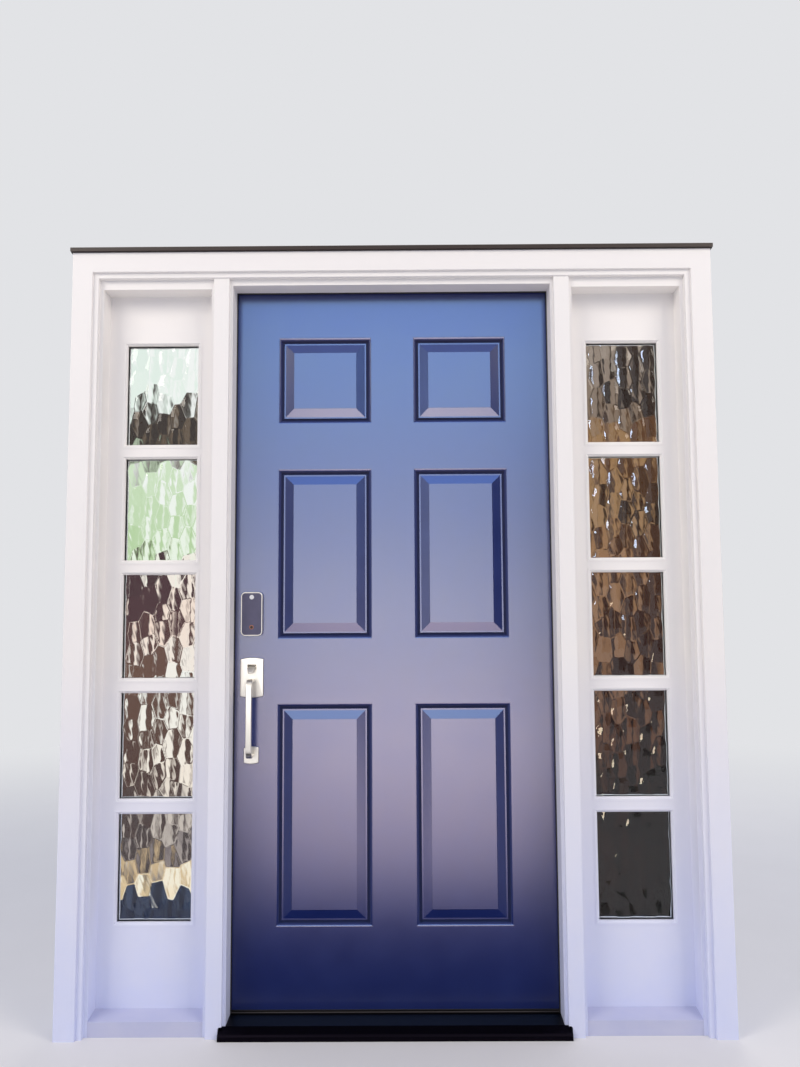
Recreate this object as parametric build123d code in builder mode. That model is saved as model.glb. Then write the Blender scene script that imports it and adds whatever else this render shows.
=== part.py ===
from build123d import *
import math
import os

os.makedirs("parts", exist_ok=True)

# A panelled front door in its frame, with a glazed sidelight on each side.
# Millimetres. X runs to the right as seen from outside, Y runs into the house, Z runs up.
# The origin is the middle of the unit's underside, in the plane of the jambs' outer edges.

# Leaf
leaf_width = 914.0
leaf_height = 2007.0
leaf_thickness = 44.5
leaf_gap = 3.2
leaf_underside = 39.5
stile_face = 130.0
muntin_face = 120.0
top_rail_face = 140.0
frieze_rail_face = 133.0
lock_rail_face = 180.0
bottom_rail_face = 217.0
top_panel_height = 251.0
middle_panel_height = 482.0
lock_edge_bevel = 3.0

# Moulded edges of the leaf's members, and the raised panels that float in their grooves
quirk = 1.0
ovolo_width = 8.0
groove_width = 12.0
groove_depth = 12.0
tongue_clearance = 0.2
panel_shrinkage_gap = 2.0
tenon_gap = 0.5
moat_width = 6.5
ledge_height = 13.25
ledge_width = 5.0
ledge_bevel = 1.2
bevel_width = 24.5
bevel_rise = 4.8
arris_step = 0.95

# Frame
jamb_depth = 116.0
jamb_thickness = 30.4
stop_depth = 62.0
stop_projection = 12.7
arris_bevel = 1.2
sidelight_width = 305.0
sidelight_head_drop = 9.7
kerf_width = 3.0
kerf_depth = 8.0

# Outside trim
casing_width = 72.0
casing_reveal = 10.0
inner_band_width = 15.0
outer_band_thickness = 25.0
inner_band_thickness = 16.0
head_reveal = 17.5
mull_cover_width = 43.8
mull_cover_thickness = 12.0
drip_cap_height = 12.0
drip_cap_overhang = 8.0
drip_cap_end_overhang = 5.0
drip_kerf_height = 2.0
drip_cap_fall = 4.0
upstand_height = 8.0
upstand_thickness = 1.5

# Threshold
threshold_reach = 28.0
threshold_nose_height = 12.0
nose_slope_height = 17.0
nose_slope_run = 4.0
threshold_edge_height = 28.0
threshold_inner_height = 32.0
threshold_horn = 17.0
threshold_notch_gap = 2.0
threshold_notch_round = 6.0
cap_channel_floor = 14.0
cap_front = 66.0
cap_back = 112.0
cap_top = 35.0
cap_fit = 0.2
cap_bevel = 1.5

# Door bottom sweep
sweep_setback = 1.0
sweep_nose = 2.0
sweep_base = 2.0
sweep_clearance = 0.4
sweep_nose_end_gap = 2.0
sweep_fin = 2.0
sweep_fin_inset = 4.0
sweep_fin_count = 4

# Sidelights
sill_front_height = 39.0
sill_stop_height = 48.0
sill_seat_height = 36.0
sidelight_gap = 0.5
sidelight_thickness = 44.5
sidelight_stile = 50.5
sidelight_top_rail = 143.3
lite_muntin = 41.0
lite_bottom = 272.5
lite_count = 5
bead_width = 11.0
bead_proud = 1.2
bead_bevel = 6.0
glass_thickness = 19.0
glass_bite = 8.0

# Weatherstrip
bulb_proud = 2.6
bulb_clearance = 0.3
bulb_round = 3.0
barb_thickness = 2.4
barb_length = 7.0
seal_fit = 0.2

# Hinges
hinge_length = 101.6
hinge_plate = 2.4
hinge_backset = 12.0
hinge_top_margin = 178.0
hinge_bottom_margin = 279.0
knuckle_radius = 6.35
knuckle_count = 3
knuckle_gap = 0.3
pin_radius = 3.15
pin_fit = 0.05
pin_head_radius = 5.5
pin_head_height = 4.0
barrel_offset = 6.6

# Locks
backset = 60.0
latch_height = 947.0
lock_spacing = 140.0
cross_bore = 54.0
edge_bore = 25.4
faceplate_height = 57.0
faceplate_width = 25.4
faceplate_thickness = 2.4
bolt_height = 20.0
bolt_thickness = 14.0
bolt_inset = 0.5
bolt_fit = 0.3
deadbolt_length = 50.0
deadbolt_throw = 25.4
latch_length = 40.0
latch_throw = 12.7
latch_slope = 9.0
strike_thickness = 2.0
strike_width = 28.0
strike_height = 70.0
strike_hole_margin = 2.0
strike_lip = 8.0
strike_lip_height = 26.0
pocket_end_gap = 2.0

# Keypad and its inside cover
keypad_width = 60.0
keypad_height = 122.0
keypad_depth = 17.0
keypad_corner = 12.0
keypad_rise = 24.0
keypad_border = 2.6
keypad_recess = 2.0
keypad_edge_bevel = 1.2
keypad_glass_fit = 0.2
keyway_radius = 4.0
keyway_depth = 1.2
keyway_drop = 37.0
cover_width = 66.0
cover_height = 126.0
cover_depth = 26.0
cover_corner = 14.0
cover_edge_bevel = 3.0
turn_width = 36.0
turn_thickness = 12.0
turn_depth = 18.0
turn_edge_bevel = 1.5
turn_shaft_radius = 5.0
turn_shaft_fit = 0.3
turn_gap = 0.5
tailpiece_width = 8.0
tailpiece_thickness = 2.5
tailpiece_end_gap = 8.0

# Handle set
plate_width = 65.0
plate_height = 111.0
plate_depth = 6.0
plate_crown = 4.0
plate_bevel = 2.0
plate_corner = 3.0
plate_drop = 13.5
thumb_pivot_rise = 18.0
thumb_width = 24.0
thumb_tip_width = 11.0
thumb_thickness = 4.0
thumb_reach = 28.0
thumb_tip_drop = 18.0
thumb_knee_reach = 14.0
thumb_knee_drop = 5.0
thumb_bend = 14.0
thumb_arm_width = 8.0
thumb_arm_length = 13.0
thumb_barrel_radius = 2.6
thumb_slot_fit = 0.3
thumb_slot_up = 5.0
thumb_slot_down = 8.0
grip_width = 16.0
grip_thickness = 9.0
grip_projection = 52.0
grip_bend = 20.0
grip_top_drop = 20.5
grip_edge_bevel = 2.0
foot_width = 41.6
foot_height = 48.0
foot_crown = 5.0
foot_depth = 6.0
foot_drop = 227.0
foot_bevel = 2.0
rose_radius = 33.0
rose_depth = 10.0
rose_taper = 3.0
lever_neck_radius = 10.0
lever_neck_length = 44.0
lever_length = 112.0
lever_height = 18.0
lever_thickness = 11.0
lever_bend = 14.0
lever_sweep = 5.5
lever_edge_bevel = 2.5
lever_neck_reach = 24.0
lever_gap = 0.4
spindle_side = 8.0
spindle_reach = 24.0

# How near a corner or an edge lies to the place it is picked by
near = 0.01

# Places worked out from the sizes
half_leaf = leaf_width / 2
leaf_outside = jamb_depth - leaf_thickness
leaf_middle = jamb_depth - leaf_thickness / 2
leaf_top = leaf_underside + leaf_height
rabbet_face = half_leaf + leaf_gap
stop_face = rabbet_face - stop_projection
rabbet_thickness = jamb_thickness - stop_projection
mull_seam = stop_face + jamb_thickness
head_rabbet = leaf_top + leaf_gap
head_stop = head_rabbet - stop_projection
frame_top = head_stop + jamb_thickness
sidelight_inner = mull_seam + jamb_thickness
sidelight_outer = sidelight_inner + sidelight_width
frame_side = sidelight_outer + jamb_thickness
sidelight_head = head_stop - sidelight_head_drop
lite_width = sidelight_width - 2 * sidelight_stile
lites_height = sidelight_head - sidelight_top_rail - lite_bottom
lite_height = (lites_height - (lite_count - 1) * lite_muntin) / lite_count
casing_inner = sidelight_outer + casing_reveal
casing_outer = casing_inner + casing_width
casing_bottom_of_head = head_stop + head_reveal
casing_top = casing_bottom_of_head + casing_width
daylight_edge = half_leaf - stile_face
lock_x = -half_leaf + backset
deadbolt_height = latch_height + lock_spacing
bottom_panel_height = (
    leaf_height
    - bottom_rail_face
    - lock_rail_face
    - frieze_rail_face
    - top_rail_face
    - middle_panel_height
    - top_panel_height
)

# Daylight heights of the three rows of panels
bottom_row = (leaf_underside + bottom_rail_face, leaf_underside + bottom_rail_face + bottom_panel_height)
middle_row = (bottom_row[1] + lock_rail_face, bottom_row[1] + lock_rail_face + middle_panel_height)
top_row = (middle_row[1] + frieze_rail_face, middle_row[1] + frieze_rail_face + top_panel_height)

# A sketch plane whose first axis is up and whose second axis runs into the house
END_VIEW = Plane(origin=(0, 0, 0), x_dir=(0, 0, 1), z_dir=(-1, 0, 0))
# A sketch plane seen from outside: first axis to the right, second axis up, normal towards the viewer
FRONT_VIEW = Plane(origin=(0, 0, 0), x_dir=(1, 0, 0), z_dir=(0, -1, 0))


def front_view(y):
    """The outside view's sketch plane at depth y."""
    return FRONT_VIEW.offset(-y)


def keep(built, label):
    """Names a finished piece and writes its file."""
    built.part.label = label
    export_step(built.part, f"parts/{label}.step")


def block(x_range, y_range, z_range, mode=Mode.ADD):
    """A plain block between two values on each axis."""
    middle = tuple((low + high) / 2 for low, high in (x_range, y_range, z_range))
    size = tuple(high - low for low, high in (x_range, y_range, z_range))
    with Locations(middle):
        Box(*size, mode=mode)


# Threshold: a sloped metal sill whose horns run out under the mull covers
threshold_half = stop_face + threshold_horn

with BuildPart() as threshold:
    with BuildSketch(Plane.YZ) as threshold_section:
        with BuildLine():
            Polyline(
                (-threshold_reach, 0),
                (-threshold_reach, threshold_nose_height),
                (-threshold_reach + nose_slope_run, nose_slope_height),
                (0, threshold_edge_height),
                (cap_front, threshold_inner_height),
                (jamb_depth, threshold_inner_height),
                (jamb_depth, 0),
                close=True,
            )
        make_face()
    extrude(amount=threshold_half, both=True)
    block(
        (-rabbet_face, rabbet_face),
        (cap_front, cap_back),
        (cap_channel_floor, threshold_inner_height + 1),
        mode=Mode.SUBTRACT,
    )
keep(threshold, "door_threshold")

with BuildPart() as threshold_cap:
    with BuildSketch(Plane.YZ) as cap_section:
        with Locations(((cap_front + cap_back) / 2, (cap_channel_floor + cap_top) / 2)):
            Rectangle(cap_back - cap_front - 2 * cap_fit, cap_top - cap_channel_floor)
        chamfer(cap_section.vertices().group_by(Axis.Z)[-1], cap_bevel)
    extrude(amount=rabbet_face - cap_fit, both=True)
keep(threshold_cap, "threshold_cap")


# Jambs: one board section with its stop outside and its rabbet inside
def jamb_section(back, way, kerfed):
    """Plan of a jamb standing on its back face, with its opening in the given way along X."""
    face = back + way * jamb_thickness
    rabbet = back + way * rabbet_thickness
    with BuildSketch() as section:
        with BuildLine():
            Polyline(
                (back, 0),
                (face, 0),
                (face, stop_depth),
                (rabbet, stop_depth),
                (rabbet, jamb_depth),
                (back, jamb_depth),
                close=True,
            )
        make_face()
        if kerfed:
            with Locations((rabbet - way * kerf_depth / 2, stop_depth + kerf_width / 2)):
                Rectangle(kerf_depth, kerf_width, mode=Mode.SUBTRACT)
    return section.sketch


def hinge_heights():
    """Middle heights of the three hinges, from the bottom up."""
    low = leaf_underside + hinge_bottom_margin + hinge_length / 2
    high = leaf_top - hinge_top_margin - hinge_length / 2
    return (low, (low + high) / 2, high)


def bolt_pocket(height, depth, mode=Mode.SUBTRACT):
    """The hollow behind a strike plate, cut from the rabbet face outwards."""
    half_thickness = bolt_thickness / 2 + strike_hole_margin
    half_height = bolt_height / 2 + strike_hole_margin
    block(
        (-rabbet_face - depth, -rabbet_face),
        (leaf_middle - half_thickness, leaf_middle + half_thickness),
        (height - half_height, height + half_height),
        mode=mode,
    )


deadbolt_pocket_depth = deadbolt_throw - leaf_gap + pocket_end_gap
latch_pocket_depth = latch_throw - leaf_gap + pocket_end_gap

with BuildPart() as strike_jamb:
    with BuildSketch():
        add(jamb_section(-mull_seam, 1, kerfed=True))
    extrude(amount=frame_top)
    add(threshold.part, mode=Mode.SUBTRACT)
    bolt_pocket(deadbolt_height, deadbolt_pocket_depth)
    bolt_pocket(latch_height, latch_pocket_depth)
    for height in (deadbolt_height, latch_height):
        block(
            (-rabbet_face - strike_thickness, -rabbet_face),
            (leaf_middle - strike_width / 2, leaf_middle + strike_width / 2),
            (height - strike_height / 2, height + strike_height / 2),
            mode=Mode.SUBTRACT,
        )
    block(
        (-rabbet_face - strike_thickness, -rabbet_face),
        (leaf_middle, jamb_depth),
        (latch_height - strike_lip_height / 2, latch_height + strike_lip_height / 2),
        mode=Mode.SUBTRACT,
    )
keep(strike_jamb, "strike_jamb")

with BuildPart() as hinge_jamb:
    with BuildSketch():
        add(jamb_section(mull_seam, -1, kerfed=True))
    extrude(amount=frame_top)
    add(threshold.part, mode=Mode.SUBTRACT)
    for height in hinge_heights():
        block(
            (rabbet_face, rabbet_face + hinge_plate),
            (leaf_outside + hinge_backset, jamb_depth),
            (height - hinge_length / 2, height + hinge_length / 2),
            mode=Mode.SUBTRACT,
        )
keep(hinge_jamb, "hinge_jamb")

with BuildPart() as door_head:
    with BuildSketch(END_VIEW):
        add(jamb_section(frame_top, -1, kerfed=True))
    extrude(amount=mull_seam, both=True)
    add(strike_jamb.part, mode=Mode.SUBTRACT)
    add(hinge_jamb.part, mode=Mode.SUBTRACT)
    for side in (-1, 1):
        edges = sorted((side * rabbet_face, side * (mull_seam + 1)))
        block(edges, (0, jamb_depth), (0, frame_top + 1), mode=Mode.SUBTRACT)
keep(door_head, "head_jamb")

for side, name in ((-1, "left"), (1, "right")):
    with BuildPart() as mull_jamb:
        with BuildSketch():
            add(jamb_section(side * mull_seam, side, kerfed=False))
        extrude(amount=frame_top)
        if side < 0:
            bolt_pocket(deadbolt_height, deadbolt_pocket_depth)
    keep(mull_jamb, f"{name}_mull_jamb")

    with BuildPart() as outer_jamb:
        with BuildSketch():
            add(jamb_section(side * frame_side, -side, kerfed=False))
        extrude(amount=frame_top)
    keep(outer_jamb, f"{name}_outer_jamb")

    middle = side * (sidelight_inner + sidelight_outer) / 2
    rabbet_half = sidelight_width / 2 + stop_projection
    with BuildPart() as sidelight_head_jamb:
        block(
            (middle - sidelight_width / 2, middle + sidelight_width / 2),
            (0, stop_depth),
            (sidelight_head, frame_top),
        )
        block(
            (middle - rabbet_half, middle + rabbet_half),
            (stop_depth, jamb_depth),
            (sidelight_head + stop_projection, frame_top),
        )
    keep(sidelight_head_jamb, f"{name}_sidelight_head")

    # Sidelight sill: falls to the outside, with a step that the panel stands behind
    with BuildPart() as sidelight_sill:
        with BuildSketch(Plane.YZ.offset(middle)) as sill_section:
            with BuildLine():
                Polyline(
                    (0, 0),
                    (0, sill_front_height),
                    (stop_depth, sill_stop_height),
                    (stop_depth, sill_seat_height),
                    (jamb_depth, sill_seat_height),
                    (jamb_depth, 0),
                    close=True,
                )
            make_face()
        extrude(amount=rabbet_half, both=True)
        for end in (-1, 1):
            notch = sorted((middle + end * sidelight_width / 2, middle + end * (rabbet_half + 1)))
            block(notch, (-1, stop_depth), (-1, sill_stop_height + 1), mode=Mode.SUBTRACT)
    keep(sidelight_sill, f"{name}_sidelight_sill")


# Sidelight panels: one stile-and-rail slab with five openings, glazed from both faces
def lite_middles():
    """Middle heights of a sidelight's panes, from the bottom up."""
    pitch = lite_height + lite_muntin
    return [lite_bottom + lite_height / 2 + pitch * number for number in range(lite_count)]


opening_width = lite_width + 2 * bead_width
opening_height = lite_height + 2 * bead_width
sidelight_inside = stop_depth + sidelight_thickness
glass_middle = stop_depth + sidelight_thickness / 2
glass_faces = (glass_middle - glass_thickness / 2, glass_middle + glass_thickness / 2)


def glazing_bead(middle, height, outer_face, glass_face):
    """A mitred frame of bead round one pane."""
    with BuildSketch(front_view(outer_face)) as ring:
        with Locations((middle, height)):
            Rectangle(opening_width, opening_height)
            Rectangle(lite_width, lite_height, mode=Mode.SUBTRACT)
    extrude(ring.sketch, amount=outer_face - glass_face)


def bead_arrises(built, outer_face):
    """The inner edges of a bead frame's outer face."""
    flat = built.edges().filter_by(lambda edge: abs(edge.center().Y - outer_face) < near)
    return flat.filter_by(lambda edge: edge.length < opening_height - bead_width).filter_by(
        lambda edge: abs(edge.length - opening_width) > 1
    )


for side, name in ((-1, "left"), (1, "right")):
    middle = side * (sidelight_inner + sidelight_outer) / 2
    panel_half = sidelight_width / 2 + stop_projection - sidelight_gap
    with BuildPart() as sidelight_panel:
        block(
            (middle - panel_half, middle + panel_half),
            (stop_depth, sidelight_inside),
            (sill_seat_height, sidelight_head + stop_projection - sidelight_gap),
        )
        for height in lite_middles():
            with Locations((middle, glass_middle, height)):
                Box(opening_width, sidelight_thickness + 1, opening_height, mode=Mode.SUBTRACT)
    keep(sidelight_panel, f"{name}_sidelight_panel")

    with BuildPart() as sidelight_glass:
        for height in lite_middles():
            with Locations((middle, glass_middle, height)):
                Box(lite_width + 2 * glass_bite, glass_thickness, lite_height + 2 * glass_bite)
    keep(sidelight_glass, f"{name}_sidelight_glass")

bead_faces = {
    "outer_glazing_beads": (stop_depth - bead_proud, glass_faces[0]),
    "inner_glazing_beads": (sidelight_inside + bead_proud, glass_faces[1]),
}
for label, (outer_face, glass_face) in bead_faces.items():
    with BuildPart() as beads:
        for side in (-1, 1):
            for height in lite_middles():
                glazing_bead(side * (sidelight_inner + sidelight_outer) / 2, height, outer_face, glass_face)
        chamfer(bead_arrises(beads, outer_face), bead_bevel)
    keep(beads, label)

# Stops on the house side that hold the sidelight panels in their rabbets
stop_strip = stop_projection
with BuildPart() as panel_stops:
    for side in (-1, 1):
        middle = side * (sidelight_inner + sidelight_outer) / 2
        low = sill_seat_height
        high = sidelight_head + stop_projection
        with BuildSketch(front_view(jamb_depth)):
            with Locations((middle, (low + high) / 2)):
                Rectangle(sidelight_width + 2 * stop_strip, high - low)
                Rectangle(sidelight_width, high - low - 2 * stop_strip, mode=Mode.SUBTRACT)
        extrude(amount=jamb_depth - sidelight_inside)
keep(panel_stops, "sidelight_panel_stops")


# Weatherstrip: a bulb held by a barb in the kerf at the corner of each rabbet
def seal_section(back, way):
    """Section of the seal, placed as the jamb section that it is pushed into."""
    root = back + way * (rabbet_thickness + seal_fit)
    tip = back + way * (jamb_thickness + bulb_proud)
    front = stop_depth + seal_fit
    rear = leaf_outside - bulb_clearance
    with BuildSketch() as section:
        with Locations(((root + tip) / 2, (front + rear) / 2)):
            RectangleRounded(abs(tip - root), rear - front, bulb_round)
        with Locations((root + way * (bulb_round - barb_length) / 2, front + barb_thickness / 2)):
            Rectangle(barb_length + bulb_round, barb_thickness)
    return section.sketch


seal_reach = jamb_thickness + bulb_proud - rabbet_thickness - seal_fit
with BuildPart() as weatherstrip:
    for side in (-1, 1):
        with BuildSketch(Plane.XY.offset(cap_top + seal_fit)):
            add(seal_section(side * mull_seam, -side))
        extrude(amount=head_rabbet - seal_fit - cap_top - seal_fit)
    with BuildSketch(END_VIEW):
        add(seal_section(frame_top, -1))
    extrude(amount=rabbet_face - seal_reach - 2 * seal_fit, both=True)
keep(weatherstrip, "weatherstrip")


# Casing: a flat board with a thinner inner band, mitred at the head
def casing_section(inner, outer):
    """Section across the casing, in the order across the board and into the house."""
    step = inner + math.copysign(inner_band_width, outer - inner)
    with BuildSketch() as section:
        with BuildLine():
            Polyline(
                (inner, 0),
                (inner, -inner_band_thickness),
                (step, -inner_band_thickness),
                (step, -outer_band_thickness),
                (outer, -outer_band_thickness),
                (outer, 0),
                close=True,
            )
        make_face()
        proud = section.vertices().filter_by(
            lambda corner: corner.Y < -outer_band_thickness + near
            or (abs(corner.X - inner) < near and corner.Y < 0)
        )
        chamfer(proud, arris_bevel)
    return section.sketch


for side, name in ((-1, "left"), (1, "right")):
    with BuildPart() as side_casing:
        with BuildSketch():
            add(casing_section(side * casing_inner, side * casing_outer))
        extrude(amount=casing_top)
        mitre = Plane(origin=(side * casing_outer, 0, casing_top), z_dir=(side, 0, -1))
        split(bisect_by=mitre, keep=Keep.TOP)
    keep(side_casing, f"{name}_casing")

    with BuildPart() as mull_cover:
        with BuildSketch() as cover_section:
            with Locations((side * mull_seam, -mull_cover_thickness / 2)):
                Rectangle(mull_cover_width, mull_cover_thickness)
            chamfer(cover_section.vertices().group_by(Axis.Y)[0], arris_bevel)
        extrude(amount=casing_bottom_of_head)
        notch_width = threshold_half + threshold_notch_gap
        with BuildSketch(FRONT_VIEW) as notch:
            with Locations((side * notch_width / 2, 0)):
                Rectangle(notch_width, 2 * (threshold_edge_height + threshold_notch_gap))
            fillet(notch.vertices(), threshold_notch_round)
        extrude(amount=mull_cover_thickness + 1, mode=Mode.SUBTRACT)
    keep(mull_cover, f"{name}_mull_cover")

with BuildPart() as head_casing:
    with BuildSketch(END_VIEW):
        add(casing_section(casing_bottom_of_head, casing_top))
    extrude(amount=casing_outer, both=True)
    for side in (-1, 1):
        mitre = Plane(origin=(side * casing_outer, 0, casing_top), z_dir=(-side, 0, 1))
        split(bisect_by=mitre, keep=Keep.TOP)
keep(head_casing, "head_casing")

# Drip cap: throws water clear of the head casing, with a low upstand against the wall
with BuildPart() as drip_cap:
    nose = -outer_band_thickness - drip_cap_overhang
    with BuildSketch(Plane.YZ):
        with BuildLine():
            Polyline(
                (0, casing_top),
                (-outer_band_thickness, casing_top),
                (-outer_band_thickness - upstand_thickness, casing_top + drip_kerf_height),
                (nose + upstand_thickness, casing_top + drip_kerf_height),
                (nose, casing_top + drip_kerf_height / 2),
                (nose, casing_top + drip_cap_height),
                (-upstand_thickness, casing_top + drip_cap_height + drip_cap_fall),
                (-upstand_thickness, casing_top + drip_cap_height + upstand_height),
                (0, casing_top + drip_cap_height + upstand_height),
                close=True,
            )
        make_face()
    extrude(amount=casing_outer + drip_cap_end_overhang, both=True)
keep(drip_cap, "drip_cap")


# Leaf members: the feature that takes most skill. Each member carries an ovolo on both
# faces and a groove between them, and each end is coped over the member that it meets.
def ovolo_waste(edge, way, face, inward):
    """What the moulding cutter removes beside one face of a member's edge."""
    start = (edge, face + inward * quirk)
    end = (edge + way * ovolo_width, face + inward * (quirk + ovolo_width))
    along = ovolo_width * math.sin(math.pi / 4)
    middle = (edge + way * along, face + inward * (quirk + ovolo_width - along))
    with BuildSketch() as waste:
        with BuildLine():
            Polyline(end, (end[0], face), (edge, face), start)
            ThreePointArc(start, middle, end)
        make_face()
    return waste.sketch


def member_section(low, high, moulded_low, moulded_high):
    """Section of a stile or rail between its daylight edges: across the member, then into the house."""
    start = low - (ovolo_width if moulded_low else 0)
    end = high + (ovolo_width if moulded_high else 0)
    with BuildSketch() as section:
        with Locations(((start + end) / 2, leaf_middle)):
            Rectangle(end - start, leaf_thickness)
        for edge, way, moulded in ((low, -1, moulded_low), (high, 1, moulded_high)):
            if moulded:
                add(ovolo_waste(edge, way, leaf_outside, 1), mode=Mode.SUBTRACT)
                add(ovolo_waste(edge, way, jamb_depth, -1), mode=Mode.SUBTRACT)
                with Locations((edge + way * (ovolo_width - groove_depth / 2), leaf_middle)):
                    Rectangle(groove_depth, groove_width, mode=Mode.SUBTRACT)
    return section.sketch


bevel_relief = leaf_thickness * math.tan(math.radians(lock_edge_bevel))


def lock_edge_waste():
    """The sliver that the lock edge's bevel takes off: the leaf is narrower outside than inside."""
    with BuildSketch(Plane.XY.offset(leaf_underside)) as sliver:
        with BuildLine():
            Polyline(
                (-half_leaf - 1, leaf_outside - 1),
                (-half_leaf + bevel_relief, leaf_outside - 1),
                (-half_leaf + bevel_relief, leaf_outside),
                (-half_leaf, jamb_depth),
                (-half_leaf - 1, jamb_depth),
                close=True,
            )
        make_face()
    extrude(sliver.sketch, amount=leaf_height, mode=Mode.SUBTRACT)


def bore_along_y(height, radius, start, length, mode=Mode.SUBTRACT):
    """A round bore or shaft on a lock's axis, running into the house."""
    with BuildSketch(front_view(start)) as circle:
        with Locations((lock_x, height)):
            Circle(radius)
    extrude(circle.sketch, amount=-length, mode=mode)


def bore_into_edge(height, radius, length):
    """A round bore into the lock edge."""
    with BuildSketch(Plane.YZ.offset(-half_leaf - 1)) as circle:
        with Locations((leaf_middle, height)):
            Circle(radius)
    extrude(circle.sketch, amount=length + 1, mode=Mode.SUBTRACT)


faceplate_seat = -half_leaf + bevel_relief + faceplate_thickness

with BuildPart() as lock_stile:
    with BuildSketch(Plane.XY.offset(leaf_underside)):
        add(member_section(-half_leaf, -daylight_edge, False, True))
    extrude(amount=leaf_height)
    lock_edge_waste()
    for height in (deadbolt_height, latch_height):
        bore_along_y(height, cross_bore / 2, leaf_outside - 1, leaf_thickness + 2)
        bore_into_edge(height, edge_bore / 2, backset)
        block(
            (-half_leaf - 1, faceplate_seat),
            (leaf_middle - faceplate_width / 2, leaf_middle + faceplate_width / 2),
            (height - faceplate_height / 2, height + faceplate_height / 2),
            mode=Mode.SUBTRACT,
        )
keep(lock_stile, "lock_stile")

with BuildPart() as hinge_stile:
    with BuildSketch(Plane.XY.offset(leaf_underside)):
        add(member_section(daylight_edge, half_leaf, True, False))
    extrude(amount=leaf_height)
    for height in hinge_heights():
        block(
            (half_leaf - hinge_plate, half_leaf),
            (leaf_outside + hinge_backset, jamb_depth),
            (height - hinge_length / 2, height + hinge_length / 2),
            mode=Mode.SUBTRACT,
        )
keep(hinge_stile, "hinge_stile")

# Rails: run between the stiles, with a stub tenon in the stiles' grooves
tenon_reach = daylight_edge - ovolo_width + groove_depth - tenon_gap
rail_rows = {
    "bottom_rail": (leaf_underside, bottom_row[0], False, True),
    "lock_rail": (bottom_row[1], middle_row[0], True, True),
    "frieze_rail": (middle_row[1], top_row[0], True, True),
    "top_rail": (top_row[1], leaf_top, True, False),
}
rails = {}
for label, (low, high, moulded_low, moulded_high) in rail_rows.items():
    with BuildPart() as rail:
        with BuildSketch(END_VIEW):
            add(member_section(low, high, moulded_low, moulded_high))
        extrude(amount=tenon_reach, both=True)
        add(lock_stile.part, mode=Mode.SUBTRACT)
        add(hinge_stile.part, mode=Mode.SUBTRACT)
    keep(rail, label)
    rails[label] = rail.part

# Muntins: short middle members, coped over the rails above and below
tenon_past_edge = groove_depth - ovolo_width - tenon_gap
muntin_rows = {
    "bottom_muntin": (bottom_row, "bottom_rail", "lock_rail"),
    "middle_muntin": (middle_row, "lock_rail", "frieze_rail"),
    "top_muntin": (top_row, "frieze_rail", "top_rail"),
}
for label, (row, below, above) in muntin_rows.items():
    with BuildPart() as muntin:
        with BuildSketch(Plane.XY.offset(row[0] - tenon_past_edge)):
            add(member_section(-muntin_face / 2, muntin_face / 2, True, True))
        extrude(amount=row[1] - row[0] + 2 * tenon_past_edge)
        add(rails[below], mode=Mode.SUBTRACT)
        add(rails[above], mode=Mode.SUBTRACT)
    keep(muntin, label)


# Raised panels: a tongue in the grooves, a ledge, a bevel and a flat field on both faces
def panel_section(middle, half):
    """Section across a panel whose daylight opening is twice the given half."""
    tongue = groove_width / 2 - tongue_clearance
    ledge = half - ovolo_width - moat_width
    bevel = ledge - ledge_width
    field = bevel - bevel_width
    steps = [
        (half + groove_depth - ovolo_width - panel_shrinkage_gap, tongue),
        (ledge, tongue),
        (ledge, ledge_height),
        (bevel, ledge_height),
        (field, ledge_height + bevel_rise),
        (field, ledge_height + bevel_rise + arris_step),
    ]
    right_outside = [(middle + across, leaf_middle - rise) for across, rise in steps]
    left_outside = [(middle - across, leaf_middle - rise) for across, rise in reversed(steps)]
    left_inside = [(middle - across, leaf_middle + rise) for across, rise in steps]
    right_inside = [(middle + across, leaf_middle + rise) for across, rise in reversed(steps)]
    with BuildSketch() as section:
        with BuildLine():
            Polyline(*right_outside, *left_outside, *left_inside, *right_inside, close=True)
        make_face()
        ledge_corners = section.vertices().filter_by(
            lambda corner: abs(abs(corner.X - middle) - ledge) < near
            and abs(abs(corner.Y - leaf_middle) - ledge_height) < near
        )
        chamfer(ledge_corners, ledge_bevel)
    return section.sketch


panel_half_width = (daylight_edge - muntin_face / 2) / 2
for row_name, row in (("bottom", bottom_row), ("middle", middle_row), ("top", top_row)):
    half_height = (row[1] - row[0]) / 2
    for side, name in ((-1, "left"), (1, "right")):
        centre = side * (muntin_face / 2 + panel_half_width)
        upright_plane = Plane(origin=(centre, 0, 0), x_dir=(0, 0, 1), z_dir=(-1, 0, 0))
        with BuildPart() as panel:
            with BuildSketch(Plane.XY.offset(row[0] - groove_depth)):
                add(panel_section(centre, panel_half_width))
            extrude(amount=2 * (half_height + groove_depth))
            with BuildSketch(upright_plane):
                add(panel_section((row[0] + row[1]) / 2, half_height))
            extrude(amount=panel_half_width + groove_depth, both=True, mode=Mode.INTERSECT)
        keep(panel, f"{row_name}_{name}_panel")

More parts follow.
